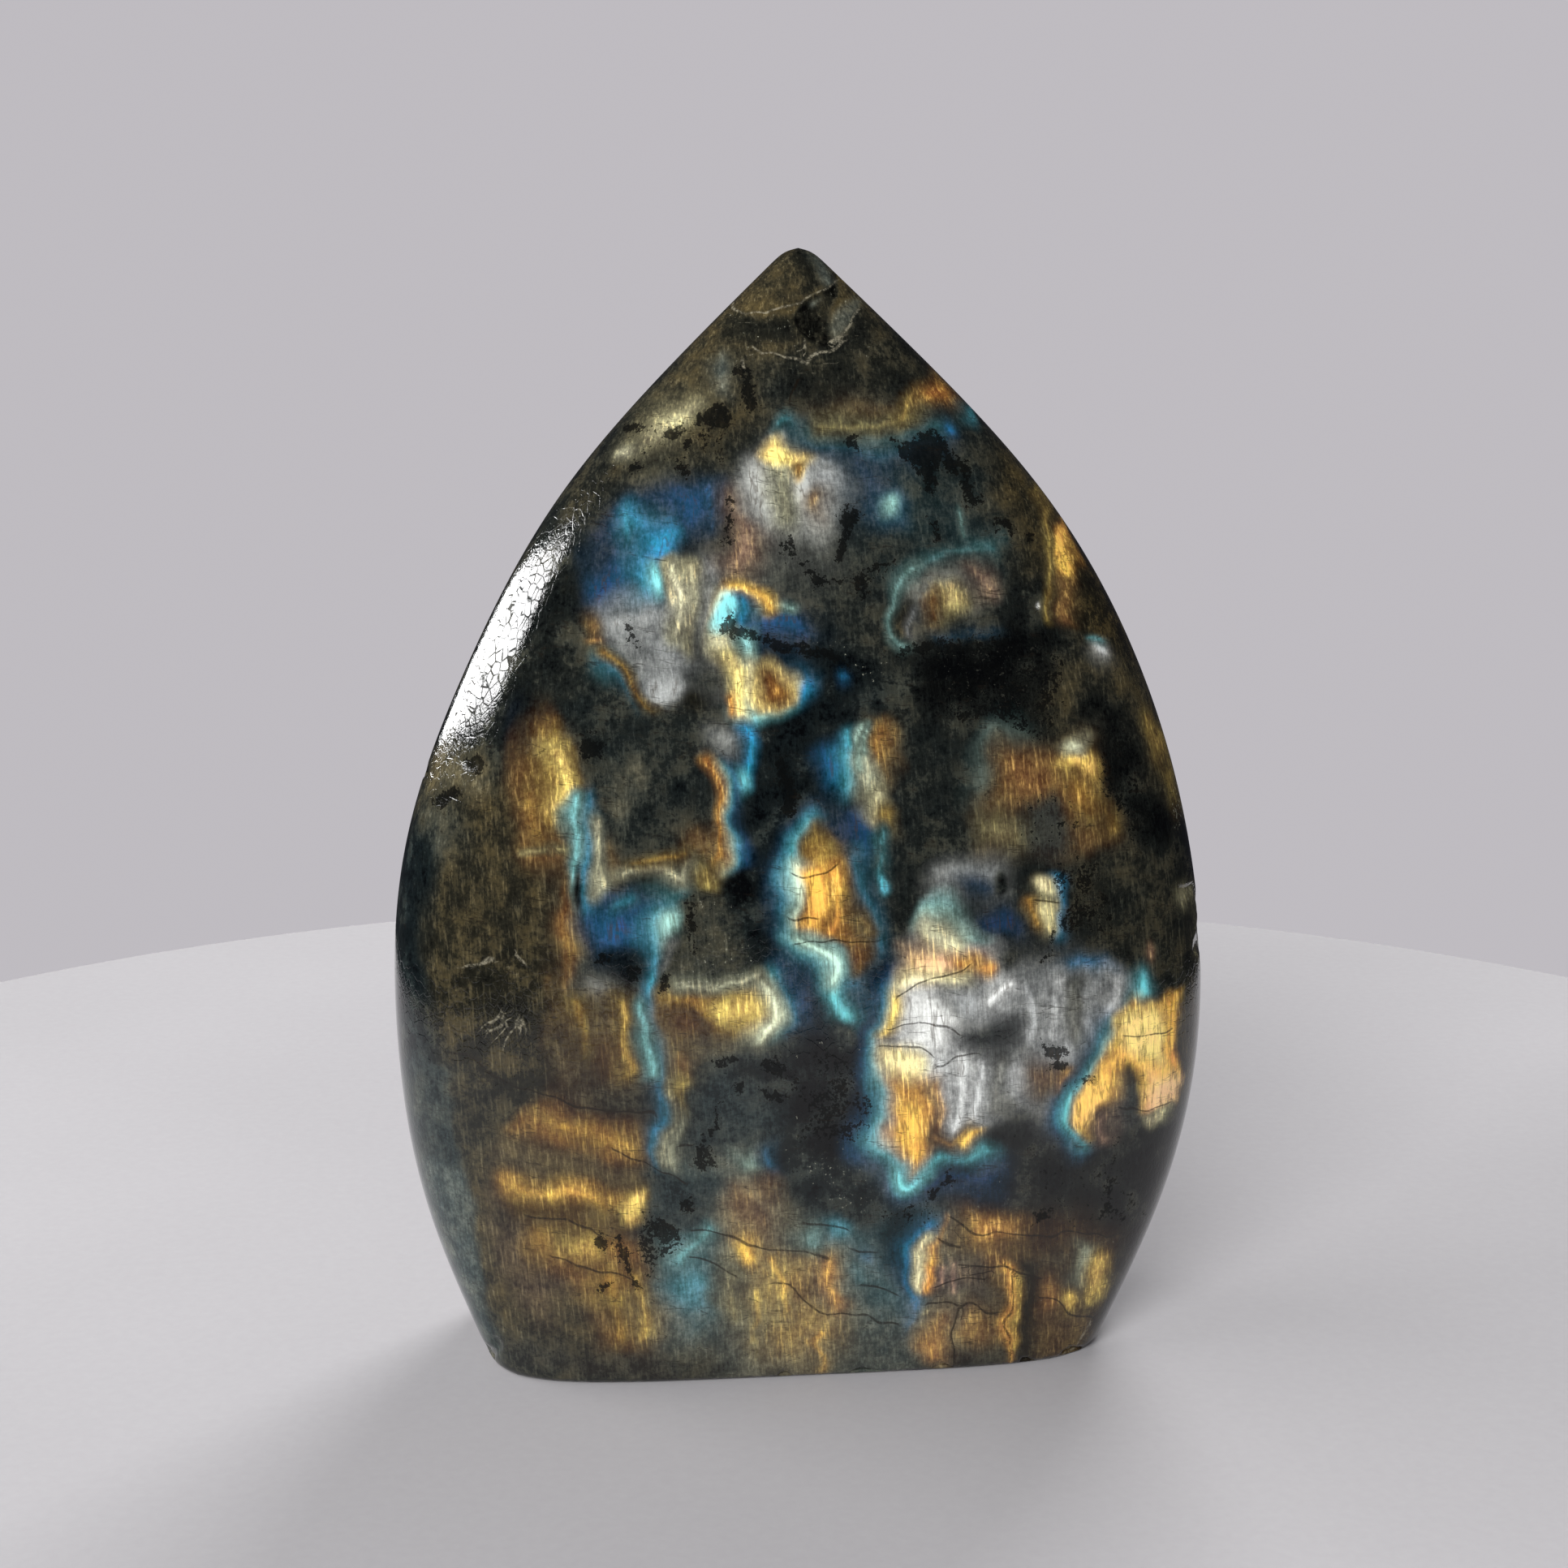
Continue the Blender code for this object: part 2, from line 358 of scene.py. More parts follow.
RIGHT_SHOULDER = (
    ground("olive flank", 0.33, 0.85, 18, (1225, 540), (1290, 590), (1305, 700), (1265, 710), (1240, 640)),
    ground("brown flank", 0.20, 0.90, 16, (1325, 690), (1370, 700), (1420, 800), (1380, 830), (1335, 790)),
    ground("black web", 0.07, 0.30, 18, (1150, 795), (1300, 780), (1340, 850), (1290, 900), (1120, 880)),
    ground("olive dark", 0.40, 0.75, 26,
        (1300, 820), (1400, 800), (1450, 900), (1430, 1000), (1340, 930), (1280, 880)),
    flash("flank's gold", 0.63, 0.90, 7, (1302, 645), (1320, 650), (1333, 702), (1324, 722), (1301, 716)),
    flash("flank's gold heart", 0.56, 1.60, 6, (1303, 662), (1318, 660), (1328, 704), (1306, 708)),
    flash("flank's olive line", 0.53, 0.45, 5, (1284, 600), (1294, 660), (1297, 760), width=8),
    flash("flank's rust", 0.70, 0.62, 9, (1304, 716), (1330, 715), (1338, 770), (1310, 765)),
    flash("grey dome", SMOKE, 0.60, 12, *oval(1355, 810, 24, 20)),
    flash("bright pearl", 0.99, 0.95, 6, *oval(1358, 798, 11, 8)),
    flash("pearl's teal cap", 0.36, 0.62, 6, *oval(1352, 788, 12, 6)),
    flash("olive strip", 0.54, 0.44, 8, (1415, 880), (1435, 940), (1450, 1010), width=24),
    ground("dark vein", 0.07, 0.30, 12, (1350, 880), (1385, 940), (1410, 1000), (1455, 1060), width=44),
)

SNAKE = (
    ground("black middle", 0.16, 0.10, 22,
        (990, 810), (1060, 800), (1110, 850), (1040, 900), (1010, 1010), (960, 1100), (950, 1200),
        (900, 1150), (915, 900)),
    flash("snake's navy tail", 0.17, 0.86, 10, (918, 756), (960, 750), (998, 768), (1002, 792), (930, 790)),
    flash("snake's tail lip", 0.41, 0.62, 5, (926, 750), (950, 748), (974, 754), width=9),
    flash("snake's amber arc", 0.57, 0.80, 6, (901, 730), (918, 722), (934, 731), (942, 750), width=17),
    flash("snake's cream neck", 0.47, 0.95, 7, (882, 735), (904, 733), (902, 765), (882, 764)),
    flash("snake's cyan core", 0.365, 1.60, 5, (888, 740), (915, 740), (914, 781), (889, 782)),
    flash("snake's teal side", 0.26, 0.66, 6, (917, 738), (919, 790), width=12),
    flash("snake's pale fold", 0.465, 0.84, 8, (882, 776), (912, 778), (914, 806), (886, 806)),
    flash("snake's pink fold", 0.50, 0.80, 9, (892, 802), (924, 806), (928, 845), (898, 846)),
    flash("snake's ice edge", 0.39, 0.92, 5, (922, 790), (928, 822), width=13),
    flash("snake's green fold", 0.47, 0.92, 7, (920, 818), (938, 825), (942, 868), (921, 874)),
    flash("snake's blue cheek", 0.26, 0.80, 12, (962, 826), (1000, 836), (1004, 862), (965, 880)),
    flash("snake's green belly", 0.36, 0.86, 7, (903, 880), (935, 880), (964, 873), width=14),
    flash("snake's yellow ring", 0.505, 0.92, 6,
        (930, 832), (950, 815), (970, 824), (980, 846), (970, 870), (946, 880), (928, 870)),
    flash("snake's orange eye", 0.62, 0.52, 6,
        (940, 835), (951, 825), (963, 831), (968, 846), (962, 860), (950, 868), (940, 862)),
    flash("snake's gold chin", 0.505, 1.10, 5, (911, 836), (911, 878), width=15),
    flash("snake's orange chin", 0.64, 0.90, 4, (899, 860), (899, 878), width=10),
    flash("blue spark", 0.19, 0.95, 8, *oval(1040, 838, 14, 12)),
)

MIDDLE = (
    ground("grey window", 0.26, 0.28, 16,
        (735, 900), (790, 880), (880, 895), (885, 1060), (850, 1072), (742, 1072)),
    ground("window's pale cloud", 0.40, 0.35, 16, (750, 940), (790, 930), (800, 1010), (760, 1030)),
    flash("window's brown foot", 0.70, 0.46, 12, (845, 1018), (884, 1018), (886, 1062), (840, 1068)),
    flash("window's brown side", 0.72, 0.44, 12, (738, 1020), (768, 1030), (775, 1085), (742, 1090)),
    ground("grey above the window", 0.24, 0.25, 18,
        (690, 850), (800, 870), (840, 900), (740, 910), (690, 890)),
    flash("silver curl", 0.90, 0.52, 11, (850, 892), (895, 888), (922, 905), (912, 940), (880, 935)),
    flash("curl's blue edge", 0.27, 0.90, 6, (917, 896), (926, 925), (921, 955), width=12),
    flash("curl's cyan foot", 0.35, 0.98, 8, *oval(906, 960, 20, 15)),
    flash("column's navy shade", 0.13, 0.85, 14,
        (896, 975), (905, 1010), (928, 1060), (915, 1078), (898, 1062)),
    flash("column's blue", 0.21, 0.74, 8, (893, 950), (897, 990), (899, 1062), width=16),
    flash("column's cyan", 0.355, 0.84, 5, (885, 948), (889, 990), (892, 1020), (893, 1074), width=10),
    flash("column's cream", 0.46, 0.84, 4, (879, 942), (884, 985), (888, 1020), (890, 1078), width=7),
    flash("column's orange", 0.62, 0.62, 5, (872, 938), (878, 985), (882, 1018), (884, 1062), width=9),
    flash("olive column", 0.52, 0.40, 10, (856, 1062), (892, 1062), (892, 1112), (858, 1112)),
    flash("teal under the sill", 0.34, 0.36, 11, (775, 1086), (845, 1084), (852, 1126), (785, 1134)),
    flash("sill's cream", 0.46, 0.66, 7,
        (765, 1080), (790, 1075), (820, 1079), (842, 1088), (853, 1070), width=11),
    flash("sill's gold", 0.57, 0.42, 6, (780, 1066), (815, 1066), (848, 1060), width=11),
    flash("oval's navy shade", 0.14, 0.80, 14,
        (1040, 985), (1070, 990), (1085, 1030), (1082, 1090), (1045, 1085), (1030, 1010)),
    flash("oval's blue side", 0.215, 0.78, 10,
        (1000, 962), (1000, 940), (1015, 918), (1038, 905), (1042, 977), (1012, 972)),
    flash("oval's teal", 0.32, 0.85, 9, (1032, 905), (1054, 894), (1058, 970), (1034, 974)),
    flash("oval's rust field", 0.71, 0.54, 8,
        (1062, 885), (1082, 874), (1100, 875), (1114, 895), (1121, 915), (1116, 940), (1100, 960),
        (1085, 982), (1062, 985)),
    flash("oval's orange heart", 0.64, 0.54, 9,
        (1080, 890), (1100, 888), (1108, 920), (1092, 945), (1080, 935)),
    flash("oval's cream heart", 0.45, 0.74, 8,
        (1050, 928), (1075, 925), (1078, 967), (1066, 988), (1050, 974)),
    flash("oval's white line", 0.42, 0.80, 4, (1060, 890), (1058, 950), width=6),
    flash("oval's white line", 0.42, 0.70, 4, (1070, 886), (1069, 930), width=5),
    flash("oval's tail", 0.47, 0.74, 7, (1072, 984), (1075, 1014), width=15),
    flash("tail's olive", 0.55, 0.42, 9, (1076, 1000), (1102, 1005), (1100, 1034), (1078, 1030)),
    flash("tail's ice line", 0.35, 0.44, 6, (1084, 1034), (1089, 1082), width=10),
    flash("tail's spark", 0.33, 1.00, 4, *oval(1090, 1084, 7, 7)),
)

CRESCENT = (
    flash("crescent's blue shade", 0.21, 0.66, 11,
        (1006, 1004), (985, 1024), (970, 1050), (962, 1080), (962, 1115), (974, 1150), (990, 1180),
        width=24),
    flash("crescent's cyan shade", 0.335, 0.86, 7,
        (1008, 1010), (990, 1030), (977, 1055), (970, 1082), (970, 1112), (979, 1145), (988, 1168),
        width=15),
    flash("crescent's teal shade", 0.29, 0.58, 10,
        (1046, 1075), (1066, 1108), (1077, 1150), (1076, 1200), (1060, 1220), width=20),
    flash("crescent's brown side", 0.68, 0.42, 8,
        (1018, 1012), (1032, 1040), (1046, 1080), (1065, 1120), (1071, 1150), (1071, 1205), (1050, 1215),
        (1030, 1190), (1015, 1120), (1012, 1060)),
    flash("crescent's olive top", 0.56, 0.50, 7,
        (1008, 1015), (1022, 1012), (1028, 1062), (990, 1064), (992, 1035)),
    flash("crescent's pale rim", 0.435, 1.00, 5,
        (985, 1060), (976, 1090), (977, 1120), (984, 1142), width=15),
    flash("crescent's gold", 0.585, 1.12, 6,
        (988, 1062), (1016, 1062), (1026, 1090), (1025, 1130), (1018, 1154), (990, 1152), (982, 1120),
        (983, 1085)),
    flash("crescent's amber side", 0.61, 0.88, 7,
        (1020, 1075), (1031, 1095), (1033, 1130), (1024, 1150), width=13),
    flash("crescent's pink side", 0.74, 0.66, 7, (1058, 1128), (1068, 1150), width=12),
    flash("crescent's cream foot", 0.46, 1.00, 6, (985, 1148), (1011, 1148), (1014, 1168), (990, 1170)),
    flash("crescent's cyan tail", 0.35, 0.98, 8,
        (982, 1158), (1002, 1174), (1022, 1198), (1035, 1224), (1042, 1252), width=22),
    flash("crescent's cream tail", 0.42, 0.98, 6,
        (988, 1154), (1008, 1172), (1021, 1192), (1034, 1222), width=11),
    flash("crescent's navy shade", 0.15, 0.66, 18,
        (955, 1170), (985, 1185), (1010, 1230), (1020, 1290), (975, 1285), (950, 1210)),
)

LEFT_BAND = (
    ground("upper left dark", 0.16, 0.30, 22,
        (690, 660), (720, 760), (700, 850), (650, 940), (570, 950), (600, 820)),
    ground("soft grey cheek", 0.44, 0.40, 20, (520, 985), (560, 990), (565, 1050), (515, 1060)),
    # Painted reflection: the pale cream patch below the window's highlight stands in for a dim reflection of
    # the window
    ground("cream cheek", 0.54, 0.70, 14,
        (534, 940), (565, 918), (600, 930), (605, 968), (560, 978), (530, 975)),
    ground("blue edge", 0.17, 0.00, 12, (505, 1050), (500, 1180), (512, 1318), width=34),
    flash("dark column", 0.07, 0.60, 16, (625, 870), (655, 855), (660, 930), (640, 960), (622, 930)),
    flash("streak's teal foot", 0.29, 0.64, 10, (708, 985), (735, 985), (740, 1110), (710, 1115)),
    flash("streak's brown sleeve", 0.68, 0.50, 14,
        (686, 866), (656, 905), (630, 940), (630, 1010), (640, 1072), (700, 1074), (708, 1000),
        (702, 930)),
    flash("streak's gold", 0.555, 0.64, 10,
        (690, 890), (698, 960), (698, 1020), (672, 1015), (655, 960), (668, 920)),
    flash("streak's orange", 0.61, 0.40, 9, (648, 965), (674, 970), (680, 1040), (655, 1045), (646, 1000)),
    flash("streak's yellow heart", 0.52, 0.82, 7, (682, 930), (692, 990), width=15),
    flash("streak's light line", 0.49, 0.50, 3, (640, 1047), (695, 1046), width=5),
    flash("streak's ice rim", 0.375, 0.80, 6, (705, 990), (708, 1060), (711, 1190), width=11),
    flash("cream line", 0.46, 0.62, 5, (733, 1008), (740, 1050), (742, 1092), width=8),
    ground("dark lens", 0.04, 0.10, 4, *oval(718, 1086, 5, 21)),
    flash("blue bay", 0.185, 0.92, 12,
        (714, 1108), (760, 1104), (800, 1110), (808, 1145), (802, 1205), (775, 1200), (735, 1185),
        (712, 1150)),
    ground("bay's dark deep", 0.13, 0.05, 11,
        (735, 1165), (785, 1160), (800, 1200), (790, 1228), (750, 1210), glow=0.12),
    flash("bay's light flecks", 0.30, 0.62, 6, *oval(761, 1116, 11, 6)),
    flash("bay's cyan edge", 0.31, 0.80, 9, (804, 1130), (801, 1170), (804, 1205), (806, 1245), width=17),
    flash("bay's bright cape", 0.405, 0.94, 9,
        (806, 1126), (842, 1130), (840, 1152), (820, 1168), (806, 1168)),
    flash("cape's pink tail", 0.90, 0.66, 8, (812, 1160), (834, 1160), (828, 1200), (810, 1200)),
    ground("grey chips", 0.42, 0.45, 12, (838, 1120), (905, 1130), (905, 1190), (850, 1208), (826, 1190)),
    flash("orange strip", 0.66, 0.44, 9,
        (690, 1068), (706, 1080), (718, 1140), (718, 1212), (695, 1214), (688, 1140)),
    flash("lavender field", 0.89, 0.42, 14, (718, 1190), (765, 1208), (762, 1250), (722, 1250)),
    flash("brown edge", 0.68, 0.36, 9, (680, 1200), (676, 1260), (672, 1335), width=18),
    flash("olive-gold field", 0.62, 0.26, 16,
        (680, 1230), (740, 1240), (790, 1240), (796, 1330), (680, 1345)),
    flash("field's gold ribs", 0.555, 0.48, 8, (768, 1245), (775, 1320), width=22),
    flash("field's gold ribs", 0.57, 0.40, 8, (712, 1235), (716, 1300), width=18),
    flash("teal column", 0.275, 0.56, 8, (808, 1238), (810, 1330), (812, 1445), width=24),
    flash("column's ice side", 0.38, 0.66, 6, (791, 1240), (797, 1290), (799, 1335), width=12),
    flash("column's cream side", 0.46, 0.58, 5, (822, 1255), (823, 1330), (824, 1430), width=8),
    # Painted shade: the field is darkened here against the floor that its gloss mirrors
    ground("field's shade", 0.22, 0.70, 16,
        (545, 1180), (650, 1170), (668, 1250), (665, 1340), (600, 1322), (545, 1300)),
    # Painted reflection: the pale grey-green on the lower left flank stands in for the tabletop mirrored in
    # its gloss
    ground("grey-green flank", 0.38, 0.10, 4,
        (470, 1305), (545, 1325), (556, 1352), (562, 1400), (573, 1450), (582, 1500), (603, 1590),
        (625, 1665), (560, 1700), (460, 1500)),
    ground("flank's lower part", 0.54, 0.10, 6,
        (520, 1430), (568, 1445), (578, 1500), (598, 1590), (618, 1655), (580, 1690), (540, 1560)),
)

LOWER_LEFT = (
    flash("plum bloom", 0.79, 0.30, 24, (600, 1440), (680, 1440), (720, 1600), (650, 1650), (590, 1540)),
    ground("dark under the crack", 0.24, 0.60, 10,
        (570, 1318), (640, 1342), (660, 1352), (620, 1385), (575, 1390)),
    flash("gold shelf", 0.62, 0.50, 9,
        (616, 1390), (650, 1360), (665, 1346), (690, 1350), (720, 1370), (790, 1385), (794, 1440),
        (715, 1436), (660, 1416), (635, 1406)),
    flash("shelf's bright band", 0.59, 0.56, 8,
        (650, 1368), (700, 1372), (788, 1400), (788, 1425), (700, 1408)),
    flash("second shelf", 0.59, 0.56, 9,
        (618, 1444), (680, 1438), (802, 1462), (802, 1500), (720, 1512), (640, 1502), (616, 1470)),
    flash("shelf's bright corner", 0.53, 0.88, 8, (770, 1466), (802, 1466), (800, 1508), (772, 1510)),
    flash("shelf's bright band", 0.565, 0.72, 8, (640, 1452), (740, 1470), (745, 1492), (650, 1480)),
    flash("third shelf", 0.61, 0.50, 9,
        (648, 1512), (720, 1508), (800, 1530), (800, 1562), (740, 1575), (670, 1560)),
    flash("shelf's yellow heart", 0.545, 0.68, 8, (686, 1524), (740, 1526), (744, 1562), (700, 1565)),
    flash("fourth shelf", 0.63, 0.47, 14,
        (672, 1545), (700, 1555), (790, 1562), (810, 1592), (824, 1650), (800, 1672), (750, 1668),
        (720, 1620), (698, 1580)),
    flash("shelf's gold drops", 0.57, 0.52, 9, (745, 1580), (770, 1640), width=24),
    flash("shelf's gold drops", 0.56, 0.54, 8, (785, 1580), (802, 1640), width=18),
    ground("dull band", 0.36, 0.60, 8,
        (616, 1418), (680, 1430), (740, 1446), (804, 1452), width=17, glow=0.20),
    ground("dull hollow", 0.20, 0.60, 10, (640, 1500), (700, 1506), (760, 1512), width=10, glow=0.25),
    ground("green foot", 0.34, 0.40, 12,
        (625, 1668), (700, 1680), (770, 1684), (860, 1690), width=26, glow=0.12),
)

CENTRE_LEFT = (
    ground("black slot", 0.04, 0.10, 9, *oval(915, 1100, 20, 32)),
    ground("black slot", 0.05, 0.10, 7, *oval(940, 1198, 16, 9)),
    flash("green shade", 0.44, 0.36, 12, (835, 1200), (935, 1192), (940, 1222), (830, 1226)),
    flash("gold's blue rim", 0.21, 0.62, 11, (958, 1196), (972, 1240), (965, 1290), (945, 1302), width=22),
    flash("gold's cyan rim", 0.34, 0.66, 8, (950, 1202), (958, 1245), (951, 1284), width=17),
    flash("gold lobe", 0.58, 0.56, 11,
        (815, 1222), (850, 1216), (935, 1208), (956, 1222), (955, 1262), (925, 1280), (880, 1288),
        (818, 1292)),
    flash("lobe's red fibres", 0.68, 0.34, 9,
        (820, 1236), (862, 1240), (885, 1268), (870, 1290), (822, 1288)),
    flash("lobe's bright heart", 0.53, 0.72, 8,
        (880, 1228), (930, 1222), (944, 1245), (920, 1266), (886, 1262)),
    flash("lobe's pale rim", 0.45, 0.88, 7, (930, 1206), (948, 1225), (950, 1262), (930, 1280), width=12),
    flash("lobe's green lip", 0.455, 0.55, 6, (850, 1212), (890, 1208), (930, 1204), width=10),
    ground("grey arc", 0.45, 0.50, 8, (862, 1298), (905, 1287), (958, 1296), width=12, glow=0.20),
    ground("dark dome", 0.52, 0.20, 14,
        (868, 1340), (880, 1302), (930, 1292), (985, 1310), (992, 1362), (900, 1364)),
    ground("dome's dark heart", 0.16, 0.20, 12, *oval(930, 1320, 34, 18)),
    flash("brown streak", 0.70, 0.44, 9, (818, 1290), (848, 1296), (850, 1332), (822, 1335)),
    flash("olive streak", 0.53, 0.50, 8, (826, 1330), (847, 1330), (846, 1375), (827, 1375)),
    flash("green-cream streak", 0.455, 0.48, 8, (825, 1372), (846, 1372), (846, 1440), (826, 1440)),
    ground("grey-blue field", 0.36, 0.06, 16,
        (850, 1342), (960, 1346), (965, 1400), (905, 1410), (856, 1405)),
    ground("mottled stone", 0.07, 0.12, 20,
        (960, 1290), (1070, 1280), (1060, 1430), (980, 1440), (955, 1380)),
    flash("blue blob", 0.22, 0.48, 9, *oval(1066, 1308, 14, 14)),
    flash("blue glow", 0.18, 0.78, 13,
        (1050, 1362), (1085, 1355), (1092, 1420), (1115, 1450), (1130, 1480), (1080, 1470), (1048, 1420)),
    flash("azure glow", 0.26, 0.88, 8, *oval(1079, 1402, 9, 21)),
    ground("grey flecks", 0.42, 0.25, 8, *oval(1040, 1272, 12, 12)),
    ground("black notch", 0.05, 0.10, 8, *oval(1085, 1206, 15, 18)),
)

BIG_PATCH = (
    flash("patch's blue shade", 0.205, 0.66, 10,
        (1096, 1200), (1080, 1280), (1074, 1340), (1076, 1400), (1094, 1438), (1126, 1464), (1160, 1450),
        (1225, 1438), width=28),
    flash("patch's cyan rim", 0.345, 0.76, 7,
        (1100, 1225), (1088, 1285), (1084, 1345), (1086, 1400), (1104, 1432), (1127, 1452), (1146, 1430),
        (1180, 1438), (1222, 1420), width=17),
    flash("big patch", 0.965, 0.98, 10,
        (1160, 1108), (1140, 1136), (1125, 1146), (1110, 1166), (1105, 1190), (1100, 1225), (1094, 1250),
        (1087, 1300), (1089, 1370), (1092, 1400), (1107, 1423), (1125, 1440), (1133, 1434), (1145, 1413),
        (1160, 1414), (1180, 1423), (1200, 1418), (1215, 1408), (1230, 1388), (1240, 1360), (1252, 1330),
        (1256, 1300), (1246, 1260), (1256, 1220), (1250, 1206), (1230, 1196), (1225, 1170), (1210, 1150),
        (1200, 1136), (1185, 1121), (1175, 1109)),
    flash("patch's cyan crest", 0.395, 0.80, 8,
        (1128, 1142), (1150, 1112), (1178, 1108), (1204, 1136), (1214, 1160), (1190, 1156), (1160, 1138)),
    flash("patch's green-cream", 0.46, 0.90, 9,
        (1136, 1142), (1160, 1126), (1186, 1132), (1200, 1155), (1185, 1168), (1138, 1166)),
    flash("patch's orange-pink", PEACH, 1.06, 10,
        (1108, 1168), (1150, 1160), (1200, 1166), (1216, 1190), (1190, 1208), (1110, 1210)),
    flash("patch's orange cheek", 0.63, 0.80, 8, (1180, 1170), (1208, 1180), (1206, 1200), (1182, 1200)),
    flash("patch's cream bar", 0.475, 0.95, 7, (1112, 1208), (1150, 1202), (1190, 1206), width=15),
    flash("patch's red spot", 0.68, 1.10, 5, *oval(1214, 1199, 12, 11)),
    flash("patch's white field", 1.00, 0.96, 12,
        (1108, 1222), (1160, 1214), (1184, 1240), (1178, 1292), (1140, 1312), (1106, 1298)),
    flash("patch's grey lilac", 0.92, 0.84, 10,
        (1168, 1208), (1206, 1212), (1212, 1240), (1182, 1262), (1164, 1240)),
    flash("patch's white streak", 0.99, 0.98, 6, (1214, 1236), (1230, 1222), (1250, 1208), width=12),
    flash("patch's amber side", 0.52, 0.90, 6, (1104, 1228), (1099, 1272), width=13),
    flash("patch's yellow-cream", 0.485, 1.10, 9, (1093, 1296), (1128, 1298), (1134, 1330), (1094, 1332)),
    flash("patch's gold foot", 0.60, 1.15, 8,
        (1094, 1332), (1138, 1330), (1150, 1362), (1146, 1410), (1132, 1434), (1122, 1434), (1100, 1410),
        (1094, 1375)),
    flash("patch's gold heart", 0.575, 1.15, 7, (1104, 1350), (1128, 1346), (1134, 1394), (1112, 1398)),
    flash("patch's brown edge", 0.69, 0.70, 7, (1150, 1338), (1157, 1370), (1151, 1402), width=16),
    flash("patch's silver right", 0.955, 0.92, 10,
        (1162, 1305), (1245, 1306), (1242, 1352), (1222, 1392), (1172, 1400), (1160, 1350)),
    flash("patch's pale bars", 0.98, 0.96, 9, (1182, 1312), (1185, 1392), width=18),
    flash("patch's pale bars", 0.97, 0.92, 9, (1206, 1322), (1206, 1384), width=16),
    flash("patch's grey bar", 0.87, 0.74, 6, (1234, 1310), (1231, 1362), width=14),
    flash("patch's brown vee", 0.72, 0.74, 5,
        (1150, 1400), (1164, 1410), (1178, 1418), (1190, 1410), (1202, 1396), width=10),
    flash("patch's small gold", 0.56, 0.98, 5,
        (1194, 1406), (1210, 1396), (1226, 1393), (1214, 1413), (1196, 1420)),
    ground("patch's dark smear", 0.16, 0.15, 16,
        (1180, 1276), (1200, 1262), (1240, 1255), (1256, 1265), (1250, 1290), (1235, 1305), (1205, 1305),
        (1186, 1290), glow=0.12),
    flash("patch's navy foot", 0.15, 0.70, 9, (1140, 1456), (1180, 1456), (1225, 1448), width=16),
    flash("patch's cyan point", 0.36, 1.00, 6, (1104, 1438), (1122, 1454), (1138, 1442), width=12),
)

